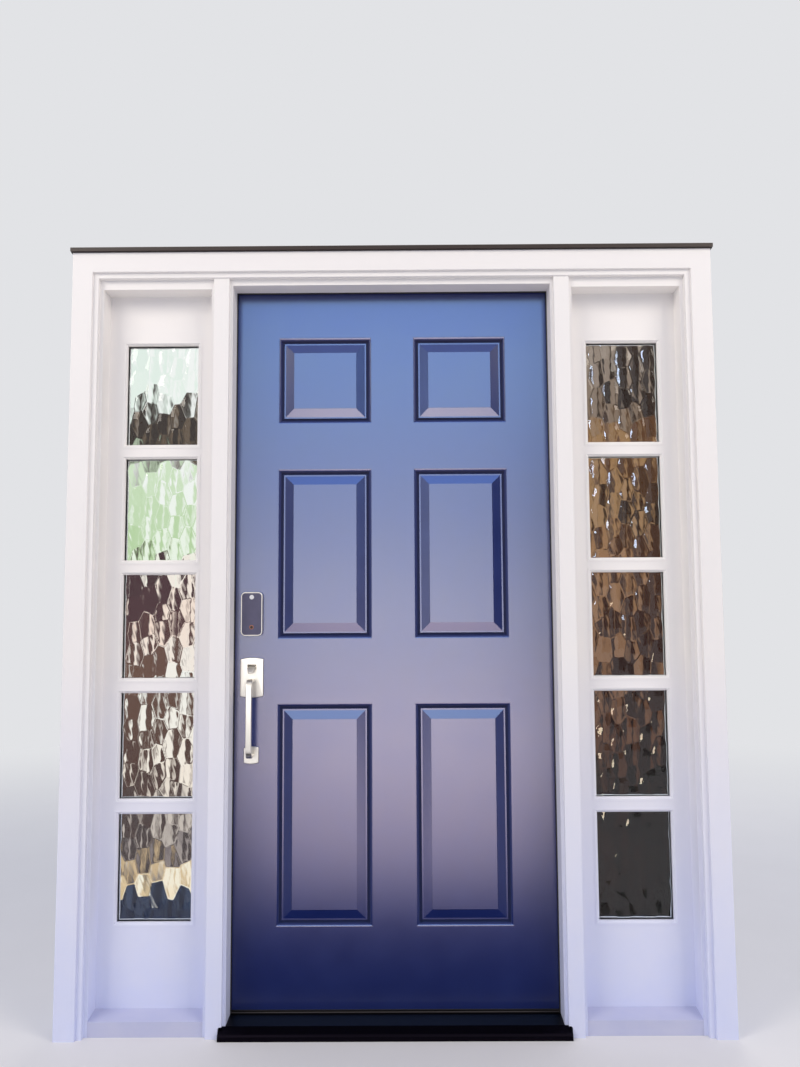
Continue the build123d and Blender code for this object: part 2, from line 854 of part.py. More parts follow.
# Sweep under the leaf: a base, a drip nose outside and fins that brush the threshold cap
with BuildPart() as sweep:
    sweep_half = half_leaf - sweep_setback - bevel_relief
    fin_foot = cap_top + sweep_clearance
    base_foot = leaf_underside - sweep_base
    block(
        (-sweep_half, sweep_half),
        (leaf_outside + sweep_setback, jamb_depth - sweep_setback),
        (base_foot, leaf_underside),
    )
    nose_half = stop_face - bulb_proud - sweep_nose_end_gap
    block(
        (-nose_half, nose_half),
        (leaf_outside - sweep_nose, leaf_outside + sweep_setback),
        (base_foot, leaf_underside),
    )
    fin_pitch = (leaf_thickness - 2 * sweep_fin_inset) / (sweep_fin_count - 1)
    for number in range(sweep_fin_count):
        fin_y = leaf_outside + sweep_fin_inset + fin_pitch * number
        fin_faces = (fin_y - sweep_fin / 2, fin_y + sweep_fin / 2)
        block((-sweep_half, sweep_half), fin_faces, (fin_foot, base_foot))
keep(sweep, "door_sweep")

# Butt hinges: plates let in flush, with knuckles and a loose pin on the house side
pin_x = half_leaf + leaf_gap / 2
pin_y = jamb_depth + barrel_offset
knuckle_pitch = hinge_length / knuckle_count


def hinge_plates(plate_range, first_knuckle):
    """One half of each hinge: its plate, and every other knuckle of its barrel."""
    for height in hinge_heights():
        foot = height - hinge_length / 2
        block(plate_range, (leaf_outside + hinge_backset, jamb_depth), (foot, foot + hinge_length))
        for number in range(first_knuckle, knuckle_count, 2):
            low = foot + knuckle_pitch * number + knuckle_gap / 2
            high = foot + knuckle_pitch * (number + 1) - knuckle_gap / 2
            block(plate_range, (jamb_depth, pin_y), (low, high))
            with Locations((pin_x, pin_y, (low + high) / 2)):
                Cylinder(knuckle_radius, high - low)
        with Locations((pin_x, pin_y, height)):
            Cylinder(pin_radius + pin_fit, hinge_length + 1, mode=Mode.SUBTRACT)


with BuildPart() as frame_plates:
    hinge_plates((rabbet_face, rabbet_face + hinge_plate), 0)
keep(frame_plates, "hinge_frame_plates")

with BuildPart() as leaf_plates:
    hinge_plates((half_leaf - hinge_plate, half_leaf), 1)
keep(leaf_plates, "hinge_leaf_plates")

with BuildPart() as hinge_pins:
    for height in hinge_heights():
        with Locations((pin_x, pin_y, height)):
            Cylinder(pin_radius, hinge_length)
        with Locations((pin_x, pin_y, height + (hinge_length + pin_head_height) / 2)):
            Cylinder(pin_head_radius, pin_head_height)
keep(hinge_pins, "hinge_pins")

# Bolts, their faceplates on the leaf's edge and the strikes in the jamb
with BuildPart() as faceplates:
    for height in (deadbolt_height, latch_height):
        block(
            (-half_leaf - 1, faceplate_seat),
            (leaf_middle - faceplate_width / 2, leaf_middle + faceplate_width / 2),
            (height - faceplate_height / 2, height + faceplate_height / 2),
        )
        block(
            (-half_leaf - 2, faceplate_seat + 1),
            (leaf_middle - bolt_thickness / 2 - bolt_fit, leaf_middle + bolt_thickness / 2 + bolt_fit),
            (height - bolt_height / 2 - bolt_fit, height + bolt_height / 2 + bolt_fit),
            mode=Mode.SUBTRACT,
        )
    lock_edge_waste()
keep(faceplates, "edge_faceplates")

bolt_tip = -half_leaf + bevel_relief / 2 + bolt_inset
bolt_sides = (leaf_middle - bolt_thickness / 2, leaf_middle + bolt_thickness / 2)

with BuildPart() as deadbolt:
    block(
        (bolt_tip, bolt_tip + deadbolt_length),
        bolt_sides,
        (deadbolt_height - bolt_height / 2, deadbolt_height + bolt_height / 2),
    )
    chamfer(deadbolt.faces().sort_by(Axis.X)[0].edges(), bolt_inset)
keep(deadbolt, "deadbolt")

with BuildPart() as latch:
    with BuildSketch(Plane.XY.offset(latch_height - bolt_height / 2)):
        with BuildLine():
            Polyline(
                (bolt_tip, bolt_sides[1]),
                (bolt_tip, bolt_sides[1] - bolt_fit),
                (bolt_tip + latch_slope, bolt_sides[0]),
                (bolt_tip + latch_length, bolt_sides[0]),
                (bolt_tip + latch_length, bolt_sides[1]),
                close=True,
            )
        make_face()
    extrude(amount=bolt_height)
keep(latch, "latch_bolt")


def strike(height):
    """A plate let into the rabbet, with a hole for its bolt."""
    block(
        (-rabbet_face - strike_thickness, -rabbet_face),
        (leaf_middle - strike_width / 2, leaf_middle + strike_width / 2),
        (height - strike_height / 2, height + strike_height / 2),
    )


with BuildPart() as strikes:
    strike(deadbolt_height)
    strike(latch_height)
    block(
        (-rabbet_face - strike_thickness, -rabbet_face),
        (leaf_middle, jamb_depth + strike_lip),
        (latch_height - strike_lip_height / 2, latch_height + strike_lip_height / 2),
    )
    bolt_pocket(deadbolt_height, strike_thickness)
    bolt_pocket(latch_height, strike_thickness)
keep(strikes, "strike_plates")

# Keypad lock outside, and its cover and thumb turn inside
keypad_middle = deadbolt_height + keypad_rise
keypad_face = leaf_outside - keypad_depth

with BuildPart() as keypad:
    with BuildSketch(front_view(leaf_outside)):
        with Locations((lock_x, keypad_middle)):
            RectangleRounded(keypad_width, keypad_height, keypad_corner)
    extrude(amount=keypad_depth)
    chamfer(keypad.faces().sort_by(Axis.Y)[0].edges(), keypad_edge_bevel)
    with BuildSketch(front_view(keypad_face)):
        with Locations((lock_x, keypad_middle)):
            RectangleRounded(
                keypad_width - 2 * keypad_border,
                keypad_height - 2 * keypad_border,
                keypad_corner - keypad_border,
            )
    extrude(amount=-keypad_recess, mode=Mode.SUBTRACT)
keep(keypad, "keypad_housing")

with BuildPart() as keypad_glass:
    glass_inset = keypad_border + keypad_glass_fit
    with BuildSketch(front_view(keypad_face + keypad_recess)):
        with Locations((lock_x, keypad_middle)):
            RectangleRounded(
                keypad_width - 2 * glass_inset,
                keypad_height - 2 * glass_inset,
                keypad_corner - glass_inset,
            )
    extrude(amount=keypad_recess)
    with BuildSketch(front_view(keypad_face + keyway_depth)):
        with Locations((lock_x, keypad_middle - keyway_drop)):
            Circle(keyway_radius)
    extrude(amount=keyway_depth, mode=Mode.SUBTRACT)
keep(keypad_glass, "keypad_glass")

cover_face = jamb_depth + cover_depth

with BuildPart() as lock_cover:
    with BuildSketch(front_view(jamb_depth)):
        with Locations((lock_x, keypad_middle)):
            RectangleRounded(cover_width, cover_height, cover_corner)
    extrude(amount=-cover_depth)
    chamfer(lock_cover.faces().sort_by(Axis.Y)[-1].edges(), cover_edge_bevel)
    bore_along_y(deadbolt_height, turn_shaft_radius + turn_shaft_fit, jamb_depth - 1, cover_depth + 2)
keep(lock_cover, "interior_lock_cover")

with BuildPart() as thumb_turn:
    turn_start = cover_face + turn_gap
    with BuildSketch(front_view(turn_start)):
        with Locations((lock_x, deadbolt_height)):
            SlotOverall(turn_width, turn_thickness, rotation=90)
    extrude(amount=-turn_depth)
    chamfer(thumb_turn.faces().sort_by(Axis.Y)[-1].edges(), turn_edge_bevel)
    bore_along_y(deadbolt_height, turn_shaft_radius, jamb_depth, turn_start - jamb_depth, mode=Mode.ADD)
    block(
        (lock_x - tailpiece_thickness / 2, lock_x + tailpiece_thickness / 2),
        (leaf_outside + tailpiece_end_gap, jamb_depth),
        (deadbolt_height - tailpiece_width / 2, deadbolt_height + tailpiece_width / 2),
    )
keep(thumb_turn, "thumb_turn")

# Handle set outside: plate, thumb piece and pull grip on a foot of its own
plate_face = leaf_outside - plate_depth
plate_middle = latch_height - plate_drop
thumb_height = latch_height + thumb_pivot_rise
thumb_y = leaf_outside - plate_depth / 2


def crowned_plate(middle, width, height, top_crown, bottom_crown):
    """An upright plate outline with bowed ends, seen from outside."""
    left = lock_x - width / 2
    right = lock_x + width / 2
    low = middle - height / 2
    high = middle + height / 2
    with BuildSketch() as outline:
        with BuildLine():
            Line((left, low + bottom_crown), (left, high - top_crown))
            ThreePointArc((left, high - top_crown), (lock_x, high), (right, high - top_crown))
            Line((right, high - top_crown), (right, low + bottom_crown))
            ThreePointArc((right, low + bottom_crown), (lock_x, low), (left, low + bottom_crown))
        make_face()
        fillet(outline.vertices(), plate_corner)
    return outline.sketch


with BuildPart() as handle_plate:
    with BuildSketch(front_view(leaf_outside)):
        add(crowned_plate(plate_middle, plate_width, plate_height, plate_crown, plate_crown))
    extrude(amount=plate_depth)
    chamfer(handle_plate.faces().sort_by(Axis.Y)[0].edges(), plate_bevel)
    block(
        (lock_x - thumb_width / 2 - thumb_slot_fit, lock_x + thumb_width / 2 + thumb_slot_fit),
        (plate_face - 1, leaf_outside + 1),
        (thumb_height - thumb_slot_down, thumb_height + thumb_slot_up),
        mode=Mode.SUBTRACT,
    )
keep(handle_plate, "handle_plate")

with BuildPart() as thumb_piece:
    with BuildSketch(Plane.YZ.offset(lock_x)):
        with BuildLine():
            FilletPolyline(
                (thumb_y, thumb_height),
                (thumb_y - thumb_knee_reach, thumb_height - thumb_knee_drop),
                (thumb_y - thumb_reach, thumb_height - thumb_tip_drop),
                radius=thumb_bend,
            )
        trace(line_width=thumb_thickness)
    extrude(amount=thumb_width / 2, both=True)
    tip_foot = thumb_height - thumb_tip_drop - thumb_thickness
    shoulder = thumb_height - thumb_thickness / 2
    with BuildSketch(front_view(thumb_y)):
        with BuildLine():
            Polyline(
                (lock_x - thumb_width / 2, thumb_height + thumb_thickness),
                (lock_x + thumb_width / 2, thumb_height + thumb_thickness),
                (lock_x + thumb_width / 2, shoulder),
                (lock_x + thumb_tip_width / 2, tip_foot),
                (lock_x - thumb_tip_width / 2, tip_foot),
                (lock_x - thumb_width / 2, shoulder),
                close=True,
            )
        make_face()
    extrude(amount=2 * thumb_reach, both=True, mode=Mode.INTERSECT)
    with Locations(Plane.YZ.offset(lock_x - thumb_width / 2)):
        with Locations((thumb_y, thumb_height)):
            Cylinder(thumb_barrel_radius, thumb_width, align=(Align.CENTER, Align.CENTER, Align.MIN))
    block(
        (lock_x - thumb_arm_width / 2, lock_x + thumb_arm_width / 2),
        (thumb_y, thumb_y + thumb_arm_length),
        (thumb_height - thumb_thickness / 2, thumb_height + thumb_thickness / 2),
    )
keep(thumb_piece, "thumb_piece")

with BuildPart() as pull_grip:
    grip_y = leaf_outside - grip_projection
    foot_face = leaf_outside - foot_depth
    grip_top = latch_height - grip_top_drop
    foot_middle = latch_height - foot_drop
    with BuildSketch(Plane.YZ.offset(lock_x)):
        with BuildLine():
            FilletPolyline(
                (plate_face, grip_top),
                (grip_y, grip_top),
                (grip_y, foot_middle),
                (foot_face, foot_middle),
                radius=grip_bend,
            )
        trace(line_width=grip_thickness)
    extrude(amount=grip_width / 2, both=True)
    long_edges = pull_grip.edges().filter_by(
        lambda edge: abs(abs(edge.center().X - lock_x) - grip_width / 2) < near
        and edge.center().Y < min(plate_face, foot_face) - near
    )
    chamfer(long_edges, grip_edge_bevel)
    with BuildSketch(front_view(leaf_outside)):
        add(crowned_plate(foot_middle, foot_width, foot_height, foot_bevel, foot_crown))
    extrude(amount=foot_depth)
    chamfer(
        pull_grip.edges().filter_by(
            lambda edge: abs(edge.center().Y - foot_face) < near
            and abs(edge.center().X - lock_x) + abs(edge.center().Z - foot_middle) > grip_width
        ),
        foot_bevel,
    )
keep(pull_grip, "pull_grip")

# Inside handle: rose, and a lever on its spindle
with BuildPart() as rose:
    with Locations(front_view(jamb_depth + rose_depth / 2) * Pos(lock_x, latch_height)):
        Cone(rose_radius - rose_taper, rose_radius, rose_depth)
    bore_along_y(latch_height, lever_neck_radius + lever_gap, jamb_depth - 1, rose_depth + 2)
keep(rose, "interior_rose")

with BuildPart() as lever:
    lever_y = jamb_depth + rose_depth + lever_neck_length - lever_thickness / 2
    neck_start = jamb_depth + lever_gap
    with BuildSketch(Plane.XY.offset(latch_height)):
        with BuildLine():
            FilletPolyline(
                (lock_x, neck_start + rose_depth),
                (lock_x, lever_y),
                (lock_x + lever_length, lever_y - lever_sweep),
                radius=lever_bend,
            )
        trace(line_width=lever_thickness)
    extrude(amount=lever_height / 2, both=True)
    lever_edges = lever.edges().filter_by(
        lambda edge: abs(abs(edge.center().Z - latch_height) - lever_height / 2) < near
    )
    chamfer(lever_edges, lever_edge_bevel)
    bore_along_y(latch_height, lever_neck_radius, neck_start, lever_neck_reach, mode=Mode.ADD)
    block(
        (lock_x - spindle_side / 2, lock_x + spindle_side / 2),
        (jamb_depth - spindle_reach, neck_start),
        (latch_height - spindle_side / 2, latch_height + spindle_side / 2),
    )
keep(lever, "interior_lever")
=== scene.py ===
# %% [markdown]
# # A panelled front door between two sidelights
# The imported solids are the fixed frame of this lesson. They are carpentry: flat boards, moulded
# edges and mitres, so most of them stay as they are and only get a finish. What plain solids
# can't show is made here: the rippled glass, the soft-edged door furniture and its screws.

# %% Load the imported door
import math

import bmesh
import bpy
import numpy as np
from mathutils import Matrix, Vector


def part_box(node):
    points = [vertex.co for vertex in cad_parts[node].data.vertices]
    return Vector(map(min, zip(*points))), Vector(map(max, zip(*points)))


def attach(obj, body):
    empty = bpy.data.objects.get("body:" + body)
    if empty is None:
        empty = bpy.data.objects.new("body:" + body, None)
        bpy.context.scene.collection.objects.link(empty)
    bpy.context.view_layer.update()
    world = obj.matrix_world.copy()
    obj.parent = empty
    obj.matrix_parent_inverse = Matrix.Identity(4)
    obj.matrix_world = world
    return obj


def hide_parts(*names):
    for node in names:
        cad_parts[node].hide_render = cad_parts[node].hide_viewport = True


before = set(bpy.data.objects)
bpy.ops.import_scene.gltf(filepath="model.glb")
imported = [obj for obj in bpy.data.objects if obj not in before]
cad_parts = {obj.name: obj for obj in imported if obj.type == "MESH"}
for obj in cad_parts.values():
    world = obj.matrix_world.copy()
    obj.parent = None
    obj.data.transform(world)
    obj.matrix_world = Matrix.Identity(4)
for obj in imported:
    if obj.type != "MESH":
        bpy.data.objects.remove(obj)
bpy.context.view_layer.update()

# %% [markdown]
# ## Small helpers
# Colours are written as the hex codes of a paint chart, and shaders want linear light, so one
# function turns them. Another adds a node with its settings and links in one line, which keeps a
# material's recipe readable.

# %% Colour and node helpers
MM = 0.001


def linear(code):
    """An sRGB hex code as linear red, green and blue, with alpha 1."""
    channels = [int(code[place:place + 2], 16) / 255 for place in (1, 3, 5)]
    return [c / 12.92 if c <= 0.04045 else ((c + 0.055) / 1.055) ** 2.4 for c in channels] + [1.0]


def add(tree, kind, settings=None, **inputs):
    """Adds a shader node. settings are its own fields; inputs are sockets by name, with _ for a
    space, or by number as i0, i1. Each is set to a value, or linked to another node's socket or
    first output in use."""
    made = tree.nodes.new("ShaderNode" + kind)
    for field, value in (settings or {}).items():
        setattr(made, field, value)
    for name, value in inputs.items():
        place = int(name[1:]) if name[1:].isdigit() else name.replace("_", " ")
        if isinstance(value, bpy.types.Node):
            value = next(socket for socket in value.outputs if socket.enabled)
        if isinstance(value, bpy.types.NodeSocket):
            tree.links.new(value, made.inputs[place])
        else:
            made.inputs[place].default_value = value
    return made


def blend(tree, factor, *colours):
    """Goes from one colour to another as the factor goes from 0 to 1: hex codes or nodes."""
    ends = [linear(end) if isinstance(end, str) else end for end in colours]
    return add(tree, "Mix", {"data_type": "RGBA"}, Factor=factor, i6=ends[0], i7=ends[1])


def finish_named(name):
    """A material and its empty node tree."""
    material = bpy.data.materials.new(name)
    material.use_nodes = True
    material.node_tree.nodes.clear()
    return material, material.node_tree


def hide_from(item, *rays):
    """Keeps an object or lamp out of sight of the named kinds of rays."""
    for ray in rays:
        setattr(item, f"visible_{ray}", False)


def paint_on(nodes, material):
    """Gives the named CAD solids one material."""
    for name in nodes:
        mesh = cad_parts[name].data
        mesh.materials.clear()
        mesh.materials.append(material)


print("darker navy in linear light:", [round(v, 4) for v in linear("#0C1C56")])

# %% [markdown]
# ## Navy enamel on the leaf
# A front door like this is brushed or sprayed with a satin enamel. The eye gets a deep blue that
# turns pale and greyish wherever the paint mirrors something bright: the blue itself is dark, and
# the light tone comes from the gloss. So the base colour is a dark navy and gloss does the rest.
# Brush marks run along each piece of wood, so upright members and rails get their own direction.
# Real bristle marks are about 0.3 mm apart; here they are 3 mm, or they wouldn't show.
# Deep in the mouldings the brush leaves a thin, dry coat that keeps dust, so the gloss is lost
# there. That dull paint draws the dark line round each panel.

# %% Navy enamel
BRUSH_SPACING = 3 * MM
BRUSH_LENGTH = 260 * MM
BRUSH_RELIEF = 0.05
PAINT_DEPTH = 0.1 * MM  # full height of the bump in any paint or plating
FLOW_SIZE = 90 * MM  # patches in which tone and gloss drift
LEAF_MIDDLE = 93.75 * MM
LEAF_HALF = 22.25 * MM
FRAME_GROOVE = 3 * MM  # stiles and rails are dull below this depth
PANEL_GROOVE = 9.4 * MM  # panels only at the foot of their bevels
DULL_FADE = 0.5 * MM
SATIN_LOW, SATIN_HIGH, DULL = 0.22, 0.27, 0.95  # roughness


def navy_enamel(name, along, groove):
    """Satin enamel with brush marks along the given axis, 0 for X and 2 for Z. It is dull where
    the depth below the leaf's faces, half the thickness less |y - middle|, is more than groove."""
    material, tree = finish_named(name)
    place = add(tree, "TexCoord").outputs["Object"]
    scale = [1 / BRUSH_SPACING] * 3
    scale[along] = 1 / BRUSH_LENGTH
    stroke_place = add(tree, "Mapping", Vector=place, Scale=scale)
    strokes = add(tree, "TexNoise", Vector=stroke_place, Scale=1.0, Detail=3.0)
    flow = add(tree, "TexNoise", Vector=place, Scale=1 / FLOW_SIZE, Detail=2.0)
    tone = blend(tree, flow, "#0C1C56", "#102362")
    gloss = add(tree, "MapRange", Value=flow, i3=SATIN_LOW, i4=SATIN_HIGH)
    through = add(tree, "SeparateXYZ", Vector=place).outputs["Y"]
    from_middle = add(tree, "Math", {"operation": "SUBTRACT"}, i0=through, i1=LEAF_MIDDLE)
    distance = add(tree, "Math", {"operation": "ABSOLUTE"}, i0=from_middle)
    dull = add(tree, "MapRange", Value=distance, i1=LEAF_HALF - groove,
               i2=LEAF_HALF - groove - DULL_FADE)
    rough = add(tree, "Mix", Factor=dull, i2=gloss, i3=DULL)
    bump = add(tree, "Bump", Height=strokes, Strength=BRUSH_RELIEF, Distance=PAINT_DEPTH)
    shader = add(tree, "BsdfPrincipled", Base_Color=tone, Roughness=rough, Normal=bump, IOR=1.5)
    add(tree, "OutputMaterial", Surface=shader)
    return material


navy_upright = navy_enamel("navy_enamel_upright", 2, FRAME_GROOVE)
navy_across = navy_enamel("navy_enamel_across", 0, FRAME_GROOVE)
navy_panel = navy_enamel("navy_enamel_panel", 2, PANEL_GROOVE)
leaf_rails = ["bottom_rail", "lock_rail", "frieze_rail", "top_rail"]
leaf_uprights = ["lock_stile", "hinge_stile", "bottom_muntin", "middle_muntin", "top_muntin"]
leaf_panels = [f"{row}_{side}_panel" for row in ("bottom", "middle", "top")
               for side in ("left", "right")]
paint_on(leaf_rails, navy_across)
paint_on(leaf_uprights, navy_upright)
paint_on(leaf_panels, navy_panel)
print("navy members:", len(leaf_rails) + len(leaf_uprights) + len(leaf_panels))

# %% [markdown]
# ## White gloss on the frame and trim
# Exterior white is rolled or brushed on and then washed by rain. The eye gets an even, slightly
# warm white with a faint stipple. Towards the ground the white turns a little cooler and bluer in
# soft patches, and most on the sills: painted shade, the blue shade of the open sky on the lower
# frame. The stipple of a roller is 1 mm across and is drawn at 4 mm.

# %% White gloss paint
STIPPLE = 4 * MM
STIPPLE_RELIEF = 0.08
PATCH_SIZE = 70 * MM
PATCH_LOW, PATCH_HIGH = 0.8, 1.1  # how deep the painted shade gets in a patch
SHADE_TOP, SHADE_BOTTOM = 1.0, 0.1  # heights in metres of the painted shade: none above, full below


def white_gloss(name, shaded_tone):
    """Gloss paint that turns to the shaded colour towards the ground, in soft patches: painted
    shade.
    """
    material, tree = finish_named(name)
    place = add(tree, "TexCoord").outputs["Object"]
    stipple = add(tree, "TexNoise", Vector=place, Scale=1 / STIPPLE, Detail=1.0)
    patches = add(tree, "TexNoise", Vector=place, Scale=1 / PATCH_SIZE, Detail=4.0)
    height = add(tree, "SeparateXYZ", Vector=place).outputs["Z"]
    # painted shade: the colour turns bluish towards the ground, in patches
    shade_by_height = add(tree, "MapRange", Value=height, i1=SHADE_TOP, i2=SHADE_BOTTOM)
    patchy = add(tree, "MapRange", Value=patches, i3=PATCH_LOW, i4=PATCH_HIGH)
    painted_shade = add(tree, "Math", {"operation": "MULTIPLY"}, i0=shade_by_height, i1=patchy)
    tone = blend(tree, painted_shade, "#F6F2EE", shaded_tone)
    bump = add(tree, "Bump", Height=stipple, Strength=STIPPLE_RELIEF, Distance=PAINT_DEPTH)
    shader = add(tree, "BsdfPrincipled", Base_Color=tone, Roughness=0.5,
                 Normal=bump, Specular_IOR_Level=0.35)
    add(tree, "OutputMaterial", Surface=shader)
    return material


# white paint with a painted blue shade towards the ground
white_paint = white_gloss("white_gloss_paint", "#DCE1FA")
# the sills take a darker painted shade
shaded_sill_paint = white_gloss("sill_shade_white_gloss_paint", "#C2C5E0")
white_endings = ("jamb", "head", "casing", "mull_cover", "beads", "stops", "sidelight_panel")
white_nodes = [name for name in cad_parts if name.endswith(white_endings)]
sill_nodes = ["left_sidelight_sill", "right_sidelight_sill"]
paint_on(white_nodes, white_paint)
paint_on(sill_nodes, shaded_sill_paint)
print("white pieces:", sorted(white_nodes + sill_nodes))

# %% [markdown]
# ## Metal and rubber
# The threshold is extruded aluminium, anodised dark bronze: extrusion leaves fine lines along its
# length, and the dark layer still shines like metal. Satin nickel on the locks is brushed, so its
# highlights smear across the lines. The drip cap is coated sheet, the seals are matt rubber. The
# keypad's face is smoked plastic: the eye gets a dim violet grey with no sharp mirror image.

# %% Metals, rubber and moulded plastic
SMOOTHER, ROUGHER = 0.04, 0.06  # how far the roughness swings between the lines


def lined_finish(name, low, high, roughness, spacing, relief, stretch=1, along=0, metallic=0.0):
    """A finish with fine lines along one axis: its colour goes from low to high and its bump rises
    with one noise, as fine as the spacing across the lines and stretched along them."""
    material, tree = finish_named(name)
    place = add(tree, "TexCoord").outputs["Object"]
    scale = [1 / spacing] * 3
    scale[along] = 1 / (spacing * stretch)
    line_place = add(tree, "Mapping", Vector=place, Scale=scale)
    lines = add(tree, "TexNoise", Vector=line_place, Scale=1.0, Detail=3.0)
    tone = blend(tree, lines, low, high)
    gloss = add(tree, "MapRange", Value=lines, i3=roughness - SMOOTHER, i4=roughness + ROUGHER)
    bump = add(tree, "Bump", Height=lines, Strength=relief, Distance=PAINT_DEPTH)
    shader = add(tree, "BsdfPrincipled", Base_Color=tone,
                 Metallic=metallic, Roughness=gloss, Normal=bump)
    add(tree, "OutputMaterial", Surface=shader)
    return material


dark_bronze = lined_finish("anodised_dark_bronze", "#0E0B13", "#17141C", roughness=0.34,
                           spacing=1.5 * MM, relief=0.1, stretch=120, metallic=1.0)
satin_nickel = lined_finish("brushed_satin_nickel", "#E3DDD5", "#F0ECE5", roughness=0.3,
                            spacing=0.8 * MM, relief=0.12, stretch=30, along=2, metallic=1.0)
coated_sheet = lined_finish("coated_brown_sheet", "#2A1F1C", "#382A26", roughness=0.42,
                            spacing=40 * MM, relief=0.05, stretch=4)
seal_rubber = lined_finish("matt_seal_rubber", "#1B191B", "#262325", roughness=0.62,
                           spacing=2 * MM, relief=0.2, stretch=60, along=2)
moulded_cap = lined_finish("moulded_threshold_cap", "#171318", "#231D20", roughness=0.45,
                           spacing=2 * MM, relief=0.1, stretch=100)
paint_on(["door_threshold"], dark_bronze)
paint_on(["threshold_cap"], moulded_cap)
paint_on(["drip_cap"], coated_sheet)
paint_on(["weatherstrip", "door_sweep"], seal_rubber)
nickel_nodes = ["hinge_frame_plates", "hinge_leaf_plates", "hinge_pins", "strike_plates",
                "edge_faceplates", "deadbolt", "latch_bolt", "keypad_housing",
                "interior_lock_cover", "thumb_turn", "handle_plate", "pull_grip", "thumb_piece",
                "interior_rose", "interior_lever"]
paint_on(nickel_nodes, satin_nickel)

# %% Smoked keypad face
HAZE_SIZE = 25 * MM
smoked_face, tree = finish_named("smoked_gloss_face")
face_place = add(tree, "TexCoord").outputs["Object"]
haze = add(tree, "TexNoise", Vector=face_place, Scale=1 / HAZE_SIZE, Detail=2.0)
face_tone = blend(tree, haze, "#48455E", "#585571")
face_shader = add(tree, "BsdfPrincipled", Base_Color=face_tone,
                  Roughness=0.42, Specular_IOR_Level=0.4)
add(tree, "OutputMaterial", Surface=face_shader)
paint_on(["keypad_glass"], smoked_face)
print("materials:", sorted(m.name for m in bpy.data.materials if m.users))

# %% [markdown]
# ## Rippled glass
# The panes are cast with a hammered face: smooth swellings about 38 mm wide and 66 mm tall, packed
# close like bricks, each one a weak lens with a fine crease round it. Nothing behind them is seen
# sharp, only streaks of its light and dark. A bump map can't bend light like that, so each pane is
# a real surface: its face follows the highest of many shallow domes, whose centres stand in
# staggered, slightly shaken rows.

# %% Rippled surface of a pane
CELL_WIDTH = 38 * MM
CELL_HEIGHT = 66 * MM
SHAKE_ACROSS, SHAKE_UP = 0.22, 0.25  # how far a centre may move, in cell widths and heights
DOME_LOW, DOME_HIGH = 0.85, 1.1  # strength of a dome
DOME_REACH = 0.8  # where a dome of strength 1 ends, in cell sizes
SWELL = 4.6 * MM  # the whole relief
CREASE = 0.02  # softness of the crease between domes
RIPPLE = 0.02  # the fine waves' share
WAVE_ACROSS, WAVE_SLANT, WAVE_UP = 2.6 * MM, 11 * MM, 9 * MM  # their lengths over 2 pi
FULL_TURN = 6.28
GRID_STEP = 2.4 * MM
BEAD_COVER = 6 * MM  # the relief fades out this near to the edge


def domed_cells(x, z, seed):
    """Height at x, z, from 0 to 1: a soft maximum over all domes, s times the log of the sum of
    exp(dome / s), where s is the crease's softness. Each dome is its strength less r squared, with
    r the distance from its centre in reaches. The product of two sine waves adds a fine ripple."""
    draw = np.random.default_rng(seed)
    columns = np.arange(x.min() - CELL_WIDTH, x.max() + CELL_WIDTH, CELL_WIDTH)
    rows = np.arange(z.min() - CELL_HEIGHT, z.max() + CELL_HEIGHT, CELL_HEIGHT)
    centre_x, centre_z = np.meshgrid(columns, rows, indexing="ij")
    centre_z = centre_z + (np.arange(len(columns)) % 2)[:, None] * CELL_HEIGHT / 2
    centre_x = centre_x + draw.uniform(-SHAKE_ACROSS, SHAKE_ACROSS, centre_x.shape) * CELL_WIDTH
    centre_z = centre_z + draw.uniform(-SHAKE_UP, SHAKE_UP, centre_z.shape) * CELL_HEIGHT
    strength = draw.uniform(DOME_LOW, DOME_HIGH, centre_x.shape).ravel()
    across = (x[..., None] - centre_x.ravel()) / (DOME_REACH * CELL_WIDTH)
    upward = (z[..., None] - centre_z.ravel()) / (DOME_REACH * CELL_HEIGHT)
    dome = strength - across ** 2 - upward ** 2
    height = CREASE * np.log(np.exp(dome / CREASE).sum(-1))
    phase = draw.uniform(0, FULL_TURN, 2)
    slanting = np.sin(x / WAVE_ACROSS + z / WAVE_SLANT + phase[0])
    height += RIPPLE * slanting * np.sin(z / WAVE_UP + phase[1])
    return (height - height.min()) / (height.max() - height.min())


def mesh_piece(name, points, faces, material, smooth=True):
    """A mesh object from arrays of points and faces, in the scene and at the origin."""
    mesh = bpy.data.meshes.new(name)
    mesh.from_pydata(np.asarray(points).tolist(), [], faces)
    mesh.materials.append(material)
    mesh.shade_smooth() if smooth else mesh.shade_flat()
    piece = bpy.data.objects.new(name, mesh)
    bpy.context.scene.collection.objects.link(piece)
    return piece


def grid_faces(rows, columns, start=0, wrap=False, close=False):
    """Four-cornered faces between neighbouring points of a grid stored row after row. wrap joins
    the last column to the first, close the last row to the first."""
    row = np.arange(rows if close else rows - 1)[:, None]
    column = np.arange(columns if wrap else columns - 1)[None, :]
    after_row, after_column = (row + 1) % rows, (column + 1) % columns
    corners = [row * columns + column, row * columns + after_column,
               after_row * columns + after_column, after_row * columns + column]
    return (np.stack(corners, -1).reshape(-1, 4) + start).tolist()


